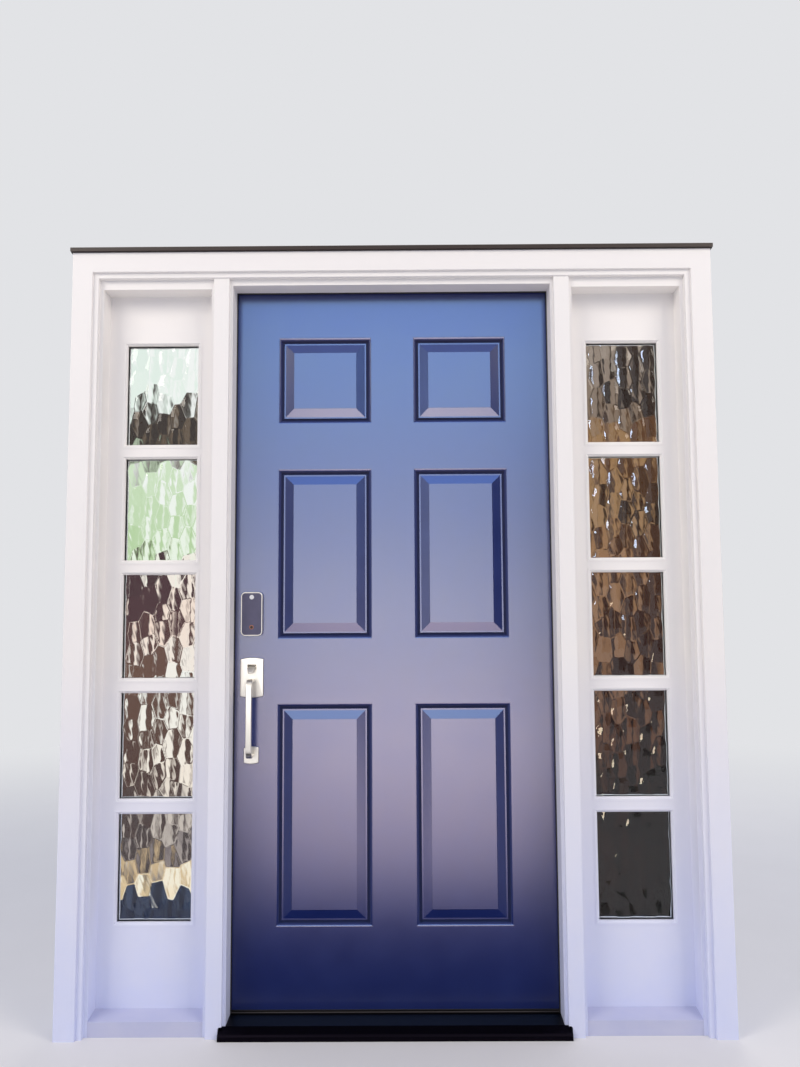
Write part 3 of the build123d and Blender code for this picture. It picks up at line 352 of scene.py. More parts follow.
def rippled_pane(low, high, seed):
    """Points and faces of one closed pane, and which faces are smooth: a rippled grid outside, a
    flat face inside and an edge all round. The relief fades to nothing under the beads."""
    columns = int((high[0] - low[0]) / GRID_STEP) + 1
    rows = int((high[2] - low[2]) / GRID_STEP) + 1
    z, x = np.meshgrid(np.linspace(low[2], high[2], rows), np.linspace(low[0], high[0], columns),
                       indexing="ij")
    rim = np.minimum.reduce([x - low[0], high[0] - x, z - low[2], high[2] - z]) / BEAD_COVER
    swell = domed_cells(x, z, seed) * SWELL * np.clip(rim, 0, 1)
    front = np.stack([x, low[1] + SWELL - swell, z], -1).reshape(-1, 3)
    number = np.arange(rows * columns).reshape(rows, columns)
    edge = np.concatenate([number[0, :-1], number[:-1, -1], number[-1, :0:-1], number[:0:-1, 0]])
    back = front[edge].copy()
    back[:, 1] = high[1]
    behind = rows * columns + np.arange(len(edge))
    faces = grid_faces(rows, columns)
    rippled = len(faces)
    faces += np.stack([np.roll(edge, -1), edge, behind, np.roll(behind, -1)], -1).tolist()
    faces.append(behind[::-1].tolist())
    return np.concatenate([front, back]), faces, [True] * rippled + [False] * (len(edge) + 1)


# %% Glass material
# The index is lower than window glass's 1.52, so that less of the bright studio is mirrored.
rippled_glass, tree = finish_named("rippled_clear_glass")
glass_shader = add(tree, "BsdfPrincipled", Base_Color=linear("#F2F6F3"), Roughness=0.03,
                   IOR=1.4, Transmission_Weight=1.0)
add(tree, "OutputMaterial", Surface=glass_shader)

# %% Build the panes
PANE_COUNT = 5
PANE_SPACING = 25 * MM  # between two panes, behind a bar
SEEDS_PER_SIDE = 10
for number, side in enumerate(("left", "right")):
    low, high = [np.array(corner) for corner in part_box(f"{side}_sidelight_glass")]
    pitch = (high[2] - low[2] + PANE_SPACING) / PANE_COUNT
    points, faces, smooth, count = [], [], [], 0
    for pane in range(PANE_COUNT):
        pane_low, pane_high = low.copy(), high.copy()
        pane_low[2] = low[2] + pane * pitch
        pane_high[2] = pane_low[2] + pitch - PANE_SPACING
        seed = SEEDS_PER_SIDE * number + pane
        part, its_faces, its_smooth = rippled_pane(pane_low, pane_high, seed)
        faces += [[corner + count for corner in face] for face in its_faces]
        count += len(part)
        points.append(part)
        smooth += its_smooth
    piece = mesh_piece(f"{side}_rippled_panes", np.concatenate(points), faces, rippled_glass)
    piece.data.polygons.foreach_set("use_smooth", smooth)
    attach(piece, "frame")
    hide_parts(f"{side}_sidelight_glass")
    print(piece.name, "points", count, "pitch", round(pitch / MM, 1))

# %% [markdown]
# ## Shapes made of loops
# Door furniture is cast or pressed, and every edge has a small radius that catches the light. Each
# piece here is a row of closed loops: a block is one outline that steps in round its front edge,
# and a bar is one section carried along a bent path. Neighbouring loops are joined by faces, and
# the first and last are closed, or joined to each other where the piece is bored through. So each
# piece is a watertight shell, and its printed volume is positive when its faces point outwards.

# %% Loops and lofts
CORNER_STEPS = 7
END_STEPS = 4  # points along each end of a rectangle, so that it can be bowed
EDGE_STEPS = 6  # loops round an edge or a tip
LOOP_POINTS = 4 * CORNER_STEPS + 2 * END_STEPS
ACROSS = np.array([1.0, 0.0, 0.0])
UPWARD = np.array([0.0, 0.0, 1.0])


def rectangle(width, height, corner, crown=0.0):
    """A rectangle's outline, anticlockwise, with corners on quarter circles. crown bows both ends:
    an end is lower than its middle by crown times (across / half width) squared."""
    turn = np.linspace(0, math.pi / 2, CORNER_STEPS)
    reach, rise = width / 2 - corner, height / 2 - corner
    right, left = reach + corner * np.cos(turn), -reach - corner * np.sin(turn)
    high, along = rise + corner * np.sin(turn), np.linspace(reach, -reach, END_STEPS + 2)[1:-1]
    across = np.concatenate([right, along, left, -right, -along, -left])
    upward = np.concatenate([high, np.full(END_STEPS, height / 2), high[::-1]])
    upward = np.concatenate([upward, -upward])
    return np.stack([across, upward - np.sign(upward) * crown * (across / (width / 2)) ** 2], -1)


def circle(radius, up=0.0):
    """A circle's outline with as many points as a rectangle's, its centre raised by up."""
    angle = (np.arange(LOOP_POINTS) + 0.5) / LOOP_POINTS * 2 * math.pi
    return np.stack([radius * np.cos(angle), radius * np.sin(angle) + up], -1)


def placed(outline, centre, y):
    """An outline set round a centre, (x, z), at the depth y."""
    depth = np.full(len(outline), y)
    return np.stack([outline[:, 0] + centre[0], depth, outline[:, 1] + centre[1]], -1)


def block(outline, centre, back, front, edge, hole=None):
    """Loops of a block from its back to its front, both depths on Y. outline(s) is the outline
    made s smaller all round. The front edge is a quarter circle: at angle a the outline is
    edge(1 - cos a) smaller and edge(1 - sin a) short of the front. A hole runs right through."""
    way = 1 if front > back else -1
    angle = np.linspace(0, math.pi / 2, EDGE_STEPS)
    smaller = [0, *(edge * (1 - np.cos(angle)))]
    depth = [back, *(front - way * edge * (1 - np.sin(angle)))]
    loops = [placed(outline(s), centre, y) for s, y in zip(smaller, depth)]
    if hole is not None:
        loops += [placed(hole, centre, front), placed(hole, centre, back)]
    return np.array(loops if way < 0 else loops[::-1]), hole is not None


def rounded_block(width, height, corner, crown, *rest, **more):
    """A block whose outline is a rectangle with round corners."""
    return block(lambda s: rectangle(width - 2 * s, height - 2 * s, corner - s, crown),
                 *rest, **more)


def round_block(radius, *rest, **more):
    """A block whose outline is a circle."""
    return block(lambda s: circle(radius - s), *rest, **more)


def bent_path(corners, radius, steps=8):
    """Points of a line that turns each inner corner on an arc. With u the direction in and w across
    the turn, the arc is start + u r sin a + w r (1 - cos a), a from 0 to the turn's angle."""
    corners = np.asarray(corners, float)
    line = [corners[:1]]
    for before, corner, after in zip(corners, corners[1:], corners[2:]):
        u = (corner - before) / np.linalg.norm(corner - before)
        v = (after - corner) / np.linalg.norm(after - corner)
        turn = math.acos(float(u @ v))
        w = v - u * math.cos(turn)
        w /= np.linalg.norm(w)
        a = np.linspace(0, turn, steps)[:, None]
        start = corner - u * radius * math.tan(turn / 2)
        line.append(start + u * radius * np.sin(a) + w * radius * (1 - np.cos(a)))
    line.append(corners[-1:])
    return np.concatenate(line)


def bar(path, side, width, thickness, corner, tip=0.0):
    """Loops of a bar: at each point of its path a rectangle with round corners stands square to
    it. width lies along the fixed side direction and may be a list. The last tip of the length is
    rounded: at angle a the section is tip(1 - cos a) smaller and tip(1 - sin a) short of the
    end. A corner's radius stays under half the thickness."""
    tangent = np.gradient(path, axis=0)
    tangent /= np.linalg.norm(tangent, axis=1)[:, None]
    widths = np.array(np.broadcast_to(width, len(path)))
    smaller = np.zeros(len(path))
    if tip:
        angle = np.linspace(0, math.pi / 2, EDGE_STEPS)
        end = path[-1] - tangent[-1] * tip * (1 - np.sin(angle))[:, None]
        path = np.concatenate([path[:-1], end])
        tangent = np.concatenate([tangent[:-1], np.repeat(tangent[-1:], len(angle), 0)])
        widths = np.concatenate([widths[:-1], np.repeat(widths[-1:], len(angle))])
        smaller = np.concatenate([smaller[:-1], tip * (1 - np.cos(angle))])
    normal = np.cross(tangent, side)
    sections = np.array([
        rectangle(w - 2 * s, thickness - 2 * s, min(corner, 0.49 * (thickness - 2 * s)))
        for w, s in zip(widths, smaller)])
    return path[:, None] + sections[..., :1] * side + sections[..., 1:] * normal[:, None], False


def crease_edges(mesh, angle=0.6):
    """Marks each edge sharp where its two faces meet at more than the angle, in radians. Returns
    the mesh's signed volume."""
    surface = bmesh.new()
    surface.from_mesh(mesh)
    for edge in surface.edges:
        edge.smooth = not (edge.is_manifold and edge.calc_face_angle() > angle)
    volume = surface.calc_volume(signed=True)
    surface.to_mesh(mesh)
    surface.free()
    return volume


def shells(name, lofts, material, body, replaced=None):
    """One piece from several lofts, each a pair of loops and whether it is bored through. It rides
    a body and may take the place of a CAD solid."""
    points, faces, smooth, count = [], [], [], 0
    for loops, bored in lofts:
        rows, columns = loops.shape[:2]
        its_faces = grid_faces(rows, columns, count, wrap=True, close=bored)
        smooth += [True] * len(its_faces)
        if not bored:
            first = np.arange(columns) + count
            last = first + (rows - 1) * columns
            its_faces += [first[::-1].tolist(), last.tolist()]
            smooth += [False, False]
        points.append(loops.reshape(-1, 3))
        faces += its_faces
        count += rows * columns
    piece = mesh_piece(name, np.concatenate(points), faces, material)
    piece.data.polygons.foreach_set("use_smooth", smooth)
    volume = crease_edges(piece.data) / MM ** 3
    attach(piece, body)
    if replaced:
        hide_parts(replaced)
    print(name, "faces", len(faces), "volume", round(volume), "mm3")
    return piece


# %% [markdown]
# ## Keypad
# The keypad's housing is a die-cast frame, plated satin nickel, round a smoked face. Its rim is a
# thin bright line in the photograph, so it is rounded on its outer and its inner edge. On the
# face sit a pale round button and, lower down, a small brass ring round the key hole, whose dark
# disc is painted shade.

# %% Keypad pieces
LOCK_X = -397 * MM
LEAF_OUTSIDE = 71.5 * MM
LEAF_INSIDE = 116 * MM
KEYPAD_WIDTH = 60 * MM
KEYPAD_CORNER = 12 * MM
RIM_EDGE = 1.4 * MM
# the rim's inner edge: how far in from the outline, and how far below the rim, in millimetres
INNER_EDGE = [(2.0, 0.0), (2.35, 0.12), (2.55, 0.5), (2.6, 2.0)]
BUTTON_DOWN = 14 * MM  # the button's middle under the housing's top
KEY_DOWN = 37 * MM  # the key hole's middle under the housing's


def measured(node):
    """A CAD solid's width, height, middle as (x, z) and its two corners. All stand on the locks'
    middle line."""
    low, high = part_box(node)
    middle = (LOCK_X, (low[2] + high[2]) / 2)
    return high[0] - low[0], high[2] - low[2], middle, low, high


_, keypad_height, keypad_middle, low, high = measured("keypad_housing")
keypad_face = low[1]
loops, bored = rounded_block(KEYPAD_WIDTH, keypad_height, KEYPAD_CORNER, 0, keypad_middle,
                             LEAF_OUTSIDE, keypad_face, RIM_EDGE)
inner = [placed(rectangle(KEYPAD_WIDTH - 2 * inset * MM, keypad_height - 2 * inset * MM,
                          KEYPAD_CORNER - inset * MM), keypad_middle, keypad_face + drop * MM)
         for inset, drop in INNER_EDGE]
furniture = []


def nickel_piece(name, body, replaced, *lofts):
    """A piece of door furniture in satin nickel, in the place of a CAD solid."""
    furniture.append(shells(name, lofts, satin_nickel, body, replaced))


nickel_piece("keypad_rim_housing", "door", "keypad_housing",
             (np.concatenate([loops, inner]), bored))
pale_plastic = lined_finish("pale_button_plastic", "#E4E3E4", "#EEEDEC", roughness=0.4,
                            spacing=6 * MM, relief=0.02)
# painted shade: a near-black disc stands for the shade inside the key hole
key_hole_shade = lined_finish("key_hole_painted_shade", "#141017", "#1C171E", roughness=0.5,
                           spacing=6 * MM, relief=0.02)
old_brass = lined_finish("worn_red_brass", "#8A5A48", "#A87460", roughness=0.35,
                         spacing=2 * MM, relief=0.05, metallic=1.0)


def on_keypad(name, middle, radius, sunk, proud, edge, material,
              hole=None):
    """A round piece on the keypad: its radius, how deep it starts below the face, how far it
    stands out, the radius of its front edge and that of a bore, all in millimetres."""
    loft = round_block(radius * MM, middle, keypad_face + sunk * MM, keypad_face - proud * MM,
                       edge * MM, hole=circle(hole * MM) if hole else None)
    furniture.append(shells(name, [loft], material, "door"))


button = (LOCK_X, high[2] - BUTTON_DOWN)
key_hole = (LOCK_X, keypad_middle[1] - KEY_DOWN)
on_keypad("keypad_button", button, 6.4, 0.2, 0.5, 0.4, pale_plastic)
on_keypad("keypad_button_centre", button, 2.2, 0, 0.8, 0.3, pale_plastic)
# the key hole's dark disc is painted shade
on_keypad("key_hole_plug", key_hole, 4, 0.9, -0.05, 0.2, key_hole_shade)
on_keypad("key_hole_ring", key_hole, 6, 0.2, 0.9, 0.6, old_brass, hole=4.1)

# %% [markdown]
# ## Handle set outside
# The pull is a cast bar, 16 mm wide and 9 mm thick, that stands out from its plate, turns down on a
# 20 mm bend and comes back to a foot. Plate and foot have bowed ends and rounded edges. The thumb
# piece is a pressed tongue that narrows to its tip and turns on a small barrel in the plate's slot.

# %% Plate, grip and foot
CORNER = 3 * MM  # of plate and foot
PLATE_CROWN, FOOT_CROWN = 4 * MM, 3 * MM
PLATE_EDGE, FOOT_EDGE = 1.9 * MM, 1.8 * MM
SLOT_HEIGHT = 963.5 * MM
FOOT_LENGTH, FOOT_DEPTH = 48 * MM, 6 * MM
GRIP_WIDTH, GRIP_THICKNESS, GRIP_CORNER, GRIP_BEND = 16 * MM, 9 * MM, 2 * MM, 20 * MM
width, height, plate_middle, low, high = measured("handle_plate")
plate_face = low[1]
slot = rectangle(24.6 * MM, 13 * MM, 1.5 * MM) + [0, SLOT_HEIGHT - plate_middle[1]]
nickel_piece(
    "bowed_handle_plate", "door", "handle_plate",
    rounded_block(width, height, CORNER, PLATE_CROWN, plate_middle, LEAF_OUTSIDE, plate_face,
                  PLATE_EDGE, hole=slot))
width, height, _, low, high = measured("pull_grip")
grip_depth = low[1] + GRIP_THICKNESS / 2
grip_top = high[2] - GRIP_THICKNESS / 2
foot_middle = (LOCK_X, low[2] + FOOT_LENGTH / 2)
foot_face = LEAF_OUTSIDE - FOOT_DEPTH
grip_path = bent_path([
    (LOCK_X, plate_face, grip_top), (LOCK_X, grip_depth, grip_top),
    (LOCK_X, grip_depth, foot_middle[1]), (LOCK_X, foot_face, foot_middle[1])], GRIP_BEND)
nickel_piece(
    "cast_pull_grip", "door", "pull_grip",
    bar(grip_path, ACROSS, GRIP_WIDTH, GRIP_THICKNESS, GRIP_CORNER),
    rounded_block(width, FOOT_LENGTH, CORNER, FOOT_CROWN, foot_middle, LEAF_OUTSIDE, foot_face,
                  FOOT_EDGE))

# %% Thumb piece
# all in millimetres, from the thumb piece's own axis
TONGUE = [(0, 0, 0), (0, -14, -5), (0, -28, -18)]
TONGUE_BEND = 14
TONGUE_WIDTH, NARROWS_BY = 24, 12.5
NARROWS_FROM, NARROWS_OVER = 2, 18  # heights below the axis
BARREL = [(-12, 0, 0), (12, 0, 0)]
TAIL = [(0, 0, 0), (0, 13, 0)]  # the end that works the latch
thumb_axis = np.array([LOCK_X, 68.5 * MM, 965 * MM])
thumb_path = thumb_axis + bent_path(np.array(TONGUE) * MM, TONGUE_BEND * MM)
below = thumb_axis[2] - thumb_path[:, 2] - NARROWS_FROM * MM
narrowing = np.clip(below / (NARROWS_OVER * MM), 0, 1)
nickel_piece(
    "pressed_thumb_piece", "thumb_piece", "thumb_piece",
    bar(thumb_path, ACROSS, (TONGUE_WIDTH - NARROWS_BY * narrowing) * MM, 4 * MM, 1.4 * MM,
        tip=1.4 * MM),
    bar(thumb_axis + np.array(BARREL) * MM, UPWARD, 5.2 * MM, 5.2 * MM, 2.5 * MM),
    bar(thumb_axis + np.array(TAIL) * MM, ACROSS, 8 * MM, 4 * MM, 0.8 * MM))

# %% [markdown]
# ## Locks inside
# Inside there is a smooth cast cover with a thumb turn, and a round rose with a lever. They weren't
# in view, so they follow the usual pattern: soft rounded edges, the same nickel, and a lever bent
# once out of its neck.

# %% Cover, thumb turn, rose and lever
COVER_CORNER, COVER_EDGE, TURN_CORNER, TURN_EDGE = 14 * MM, 4 * MM, 5.9 * MM, 3 * MM
TURN_BACK, TURN_SHAFT_END = 142.5 * MM, 143 * MM
ROSE_EDGE, ROSE_BORE = 3 * MM, 10.4 * MM
LEVER_WIDTH, LEVER_THICKNESS, LEVER_BEND = 18 * MM, 11 * MM, 14 * MM
LEVER_EDGE = 3.5 * MM
LEVER_START = 126.4 * MM  # inside its neck
NECK_BACK, NECK_FRONT = 116.4 * MM, 140.4 * MM
SPINDLE_END = 117 * MM
turn_place = (LOCK_X, 1087 * MM)
lever_place = (LOCK_X, 947 * MM)


def spindle(place, start, end, width, height):
    """A square bar through the leaf at a place, (x, z), between two depths."""
    path = np.array([[place[0], start, place[1]], [place[0], end, place[1]]])
    return bar(path, ACROSS, width, height, 0.5 * MM)


width, height, middle, low, high = measured("interior_lock_cover")
nickel_piece(
    "cast_lock_cover", "door", "interior_lock_cover",
    rounded_block(width, height, COVER_CORNER, 0, middle, LEAF_INSIDE, high[1], COVER_EDGE,
                  hole=circle(5.3 * MM, turn_place[1] - middle[1])))
width, height, _, low, high = measured("thumb_turn")
nickel_piece(
    "rounded_thumb_turn", "thumb_turn", "thumb_turn",
    rounded_block(width, height, TURN_CORNER, 0, turn_place, TURN_BACK, high[1], TURN_EDGE),
    round_block(5 * MM, turn_place, LEAF_INSIDE, TURN_SHAFT_END, 0.2 * MM),
    spindle(turn_place, low[1], LEAF_INSIDE, 2.5 * MM, 8 * MM))
width, height, _, low, high = measured("interior_rose")
nickel_piece(
    "turned_rose", "door", "interior_rose",
    round_block(width / 2, lever_place, LEAF_INSIDE, high[1], ROSE_EDGE, hole=circle(ROSE_BORE)))
low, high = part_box("interior_lever")
lever_y = high[1] - LEVER_THICKNESS / 2
lever_path = bent_path([
    (LOCK_X, LEVER_START, lever_place[1]), (LOCK_X, lever_y, lever_place[1]),
    (high[0], lever_y - LEVER_THICKNESS / 2, lever_place[1])], LEVER_BEND)
nickel_piece(
    "cast_lever", "interior_lever", "interior_lever",
    bar(lever_path, UPWARD, LEVER_WIDTH, LEVER_THICKNESS, LEVER_EDGE, tip=LEVER_EDGE),
    round_block(10 * MM, lever_place, NECK_BACK, NECK_FRONT, 1.5 * MM),
    spindle(lever_place, low[1], SPINDLE_END, 8 * MM, 8 * MM))

# %% [markdown]
# ## Screws
# Hinges, faceplates and strikes are held by flat-headed screws with a cross recess. Each head is a
# low dome, and the recess is a four-lobed outline sunk into it.

# %% Screw heads
HEAD_RADIUS = 4.2 * MM
HEAD_RISE = 0.35 * MM
HEAD_BEND = 1.05  # how far the dome is followed inwards, in radians


def screw_head(place, outward):
    """Loops of one head at a place, facing along X by outward, 1 or -1. The dome's radius and
    height go as cos b and sin b; at the angle a the recess is R(0.12 + 0.3 cos(2a)^6) wide."""
    angle = np.arange(LOOP_POINTS) / LOOP_POINTS * 2 * math.pi
    ring = np.stack([np.cos(angle), np.sin(angle)], -1)
    lobes = ring * (0.12 + 0.3 * np.cos(2 * angle) ** 6)[:, None]
    bend = np.linspace(0, HEAD_BEND, 4)
    outlines = [ring, *(np.cos(b) * ring for b in bend), lobes, 0.7 * lobes]
    heights = [-0.8, *np.sin(bend), 0.95, -1.6]
    loops = [np.stack([np.full(LOOP_POINTS, place[0] + outward * HEAD_RISE * rise),
                       place[1] + HEAD_RADIUS * flat[:, 0],
                       place[2] + HEAD_RADIUS * flat[:, 1]], -1)
             for flat, rise in zip(outlines, heights)]
    return np.array(loops if outward > 0 else loops[::-1]), False


# all in millimetres: heights of the plates' middles, then each screw from there, (y, up)
HINGES = (369.3, 1093.5, 1817.7)
LOCKS = (947.0, 1087.0)
HINGE_SCREWS = [(94, -38), (104, -16), (104, 16), (94, 38)]
FACEPLATE_SCREWS = [(93.75, -22), (93.75, 22)]
STRIKE_SCREWS = [(93.75, -29), (93.75, 29)]
LEAF_EDGE, RABBET = 457.0, 460.2
FACEPLATE = -455.6  # where the bevelled edge passes the screws
for name, face_x, outward, middles, screws, body in (
        ("hinge_screws_frame", RABBET, -1, HINGES, HINGE_SCREWS, "frame"),
        ("hinge_screws_leaf", LEAF_EDGE, 1, HINGES, HINGE_SCREWS, "door"),
        ("faceplate_screws", FACEPLATE, -1, LOCKS, FACEPLATE_SCREWS, "door"),
        ("strike_screws", -RABBET, 1, LOCKS, STRIKE_SCREWS, "frame")):
    nickel_piece(name, body, None, *(
        screw_head((face_x * MM, y * MM, (middle + up) * MM), outward)
        for middle in middles for y, up in screws))

# %% [markdown]
# ## Camera
# The photograph was taken from 2.5 m in front of the door at chest height, tilted up 5 degrees,
# with a lens of about 30 mm. The camera's axes are worked out from three angles.

# %% Camera
CAMERA_PLACE = (0.031, -2.4755, 1.116)
CAMERA_TILT, CAMERA_TURN, CAMERA_ROLL = 0.0863, 0.0043, -0.0056  # radians
FOCAL_PIXELS = 900
PHOTO_HEIGHT = 1067
FILM = 36  # mm along the picture's long side
level = np.array([-math.sin(CAMERA_TURN), math.cos(CAMERA_TURN), 0.0])
right = np.array([math.cos(CAMERA_TURN), math.sin(CAMERA_TURN), 0.0])
forward = math.cos(CAMERA_TILT) * level + math.sin(CAMERA_TILT) * UPWARD
up = -math.sin(CAMERA_TILT) * level + math.cos(CAMERA_TILT) * UPWARD
picture_right = math.cos(CAMERA_ROLL) * right + math.sin(CAMERA_ROLL) * up
picture_up = math.cos(CAMERA_ROLL) * up - math.sin(CAMERA_ROLL) * right
camera_data = bpy.data.cameras.new("camera")
camera_data.sensor_width = FILM
camera_data.lens = FILM * FOCAL_PIXELS / PHOTO_HEIGHT
camera = bpy.data.objects.new("camera", camera_data)
bpy.context.scene.collection.objects.link(camera)
axes = np.stack([picture_right, picture_up, -forward], 1)
camera.matrix_world = Matrix.Translation(CAMERA_PLACE) @ Matrix(axes.tolist()).to_4x4()
bpy.context.scene.camera = camera
print("lens", round(camera_data.lens, 2), "mm")

# %% [markdown]
# ## Floor, lamps and world
# The door stands on a plain pale floor. Soft lamps left and right of the camera give the white
# frame its level. The leaf shows mostly what it mirrors, so reflector cards stand far in front of
# it and lie along the floor: blue above and warm below, as an open sky and a bright path would be.
# They are narrow, so the panels' side bevels, which look aside, stay dark. Each card shows only in
# the gloss of its own group of pieces, and gives no light to the rest.

# %% Floor
FLOOR_SIZE = 14.0
FADE_NEAR, FADE_FAR = 1.6, 6.0
BACKDROP = "#E2E3E6"


def seen_rays(tree):
    """1 for the rays that see a background: from the camera, off gloss and through glass."""
    rays = add(tree, "LightPath")
    camera_or_gloss = add(tree, "Math", {"operation": "MAXIMUM"},
                          i0=rays.outputs["Is Camera Ray"], i1=rays.outputs["Is Glossy Ray"])
    return add(tree, "Math", {"operation": "MAXIMUM"}, i0=camera_or_gloss,
               i1=rays.outputs["Is Transmission Ray"])


floor_material, tree = finish_named("pale_studio_floor")
floor_place = add(tree, "TexCoord").outputs["Object"]
floor_noise = add(tree, "TexNoise", Vector=floor_place, Scale=3.0, Detail=4.0)
floor_tone = blend(tree, floor_noise, "#E6E4E2", "#ECEAE8")
floor_shader = add(tree, "BsdfPrincipled", Base_Color=floor_tone, Roughness=0.7)
# between two distances it turns into the backdrop, so that no horizon line is left
reach = add(tree, "VectorMath", {"operation": "LENGTH"}, i0=floor_place)
far = add(tree, "MapRange", {"interpolation_type": "SMOOTHSTEP"}, Value=reach,
          i1=FADE_NEAR, i2=FADE_FAR)
seen_share = add(tree, "Math", {"operation": "MULTIPLY"}, i0=far, i1=seen_rays(tree))
floor_glow = add(tree, "Emission", Color=linear(BACKDROP))
floor_mix = add(tree, "MixShader", Fac=seen_share, i1=floor_shader, i2=floor_glow)
add(tree, "OutputMaterial", Surface=floor_mix)
half = FLOOR_SIZE / 2
corners = [(-half, -half, 0), (half, -half, 0), (half, half, 0), (-half, half, 0)]
floor = mesh_piece("floor", corners, [[0, 1, 2, 3]], floor_material, smooth=False)


# %% [markdown]
# ## Dark cards
# Dark paint and glass show best what they mirror. Cards of black velvet beside the picture keep
# the bright studio out of them. One lies on the floor by the leaf, where the bottom rail mirrors
# the ground, the other stands far out, where the right panes look.

# %% Velvet cards
CARD_LIFT = 0.004
velvet, tree = finish_named("black_velvet_card")
velvet_face = add(tree, "BsdfDiffuse", Color=linear("#050507"))
velvet_back = add(tree, "BsdfTransparent")
velvet_mix = add(tree, "MixShader", Fac=add(tree, "NewGeometry").outputs["Backfacing"],
                 i1=velvet_face, i2=velvet_back)
add(tree, "OutputMaterial", Surface=velvet_mix)


def dark_card(name, corners):
    """A flat card that is seen only in gloss, from the side where its corners run anticlockwise."""
    card = mesh_piece(name, corners, [[0, 1, 2, 3]], velvet, smooth=False)
    hide_from(card, "camera", "diffuse", "transmission", "shadow")


dark_card("card_by_the_door", [(-0.8, -0.8, CARD_LIFT), (0.8, -0.8, CARD_LIFT),
                               (0.8, -0.08, CARD_LIFT), (-0.8, -0.08, CARD_LIFT)])
dark_card("card_on_the_right", [(14, -12.5, 0), (3, -12.5, 0), (3, -12.5, 9), (14, -12.5, 9)])
print("staged: the floor and two dark cards")


# %% Lamps
LEVEL_SIDE = 1e-6  # below this a lamp looks straight up or down


def soft_lamp(name, centre, target, width, height, light, shows_in=None):
    """A rectangular lamp of the given red, green and blue radiance: its power is the radiance
    times pi times its area. With shows_in, a collection, it is a reflector card: it gives no
    light, and only shows in the gloss of those objects."""
    data = bpy.data.lights.new(name, "AREA")
    data.shape = "RECTANGLE"
    data.size = width
    data.size_y = height
    data.color = [channel / max(light) for channel in light]
    data.energy = max(light) * math.pi * width * height
    lamp = bpy.data.objects.new(name, data)
    bpy.context.scene.collection.objects.link(lamp)
    hide_from(lamp, "camera")
    if shows_in:
        hide_from(lamp, "diffuse", "transmission")
        lamp.light_linking.receiver_collection = shows_in
    back = np.array(centre, float) - np.array(target, float)
    back /= np.linalg.norm(back)
    side = np.cross(UPWARD, back)
    side = side / np.linalg.norm(side) if np.linalg.norm(side) > LEVEL_SIDE else ACROSS
    axes = np.stack([side, np.cross(back, side), back], 1)
    lamp.matrix_world = Matrix.Translation(centre) @ Matrix(axes.tolist()).to_4x4()


def gloss_group(name, objects):
    """The objects that a reflector card shows in."""
    group = bpy.data.collections.new(name)
    for item in objects:
        group.objects.link(item)
    return group


leaf_nodes = [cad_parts[n] for n in leaf_rails + leaf_uprights + leaf_panels]
leaf_group = gloss_group("leaf", leaf_nodes)
pane_group = gloss_group("right_panes", [bpy.data.objects["right_rippled_panes"]])
metal_nodes = [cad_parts[n] for n in nickel_nodes + ["keypad_glass"]]
metal_group = gloss_group("metal", furniture + metal_nodes)
EYE_HEIGHT = 1.1
SWEEP_DISTANCE = 12.0
# low and high elevation in degrees, left and right end, light
SWEEP_BANDS = [
    (-4, 3, -3.5, 2.6, (9.6, 9.6, 10.7)),
    (3, 9, -3.5, 2.6, (5.3, 6.0, 7.9)),
    (9, 13, -3.5, 2.8, (4.5, 5.6, 8.3)),
    (13, 17, -3.6, 3.6, (4.0, 5.9, 9.4)),
    (17, 23, -3.6, 3.6, (4.8, 7.6, 10.8)),
    (23, 35, -3.6, 3.6, (1.7, 3.6, 10.2)),
    (35, 45, -3.2, 3.2, (0.9, 1.1, 2.0)),
]
for number, (low, high, left, right, light) in enumerate(SWEEP_BANDS):
    foot = max(0.02, EYE_HEIGHT + SWEEP_DISTANCE * math.tan(math.radians(low)))
    head = EYE_HEIGHT + SWEEP_DISTANCE * math.tan(math.radians(high))
    place = ((left + right) / 2, -SWEEP_DISTANCE, (foot + head) / 2)
    soft_lamp(f"sweep_{number}", place, (place[0], 0, place[2]), right - left, head - foot, light,
              shows_in=leaf_group)
# strips on the floor: near edge, far edge, half width, light
PATH_STRIPS = [
    (0.95, 1.4, 0.5, (2.2, 1.8, 2.4)),
    (1.4, 2.1, 0.66, (6.0, 4.9, 5.6)),
    (2.1, 3.3, 0.85, (7.8, 6.3, 6.8)),
    (3.3, 5.4, 1.25, (11.0, 9.4, 10.0)),
    (5.4, 8.0, 1.7, (12.4, 10.6, 11.2)),
    (8.0, 12.0, 2.3, (12.8, 11.2, 11.6)),
]
for number, (near, far, half_width, light) in enumerate(PATH_STRIPS):
    middle = -(near + far) / 2
    soft_lamp(f"path_{number}", (0, middle, 0.01), (0, middle, 1), 2 * half_width, far - near,
              light, shows_in=leaf_group)
# place, target, width, height, light
soft_lamp("pane_sky", (-0.5, -SWEEP_DISTANCE, 5.4), (-0.5, 0, 5.4), 0.9, 6.0, (19.0, 23.0, 30.0),
          shows_in=pane_group)
soft_lamp("pane_path", (-0.1, -5.6, 0.01), (-0.1, -5.6, 1), 0.7, 5.0, (20.0, 17.0, 12.0),
          shows_in=pane_group)
soft_lamp("metal_card", (0, -8.0, 2.6), (0, 0, 2.6), 7.0, 5.0, (1.5, 1.45, 1.38),
          shows_in=metal_group)
soft_lamp("key_left", (-3.4, -3.2, 4.0), (0, 0, 1.3), 2.4, 2.4, (6.05, 5.6, 5.0))
soft_lamp("key_right", (3.4, -3.2, 4.0), (0, 0, 1.3), 2.4, 2.4, (5.85, 5.35, 4.7))
soft_lamp("rear_fill", (1.5, 4.5, 3.6), (0, 0, 1.0), 3.0, 2.4, (2.6, 2.5, 2.4))

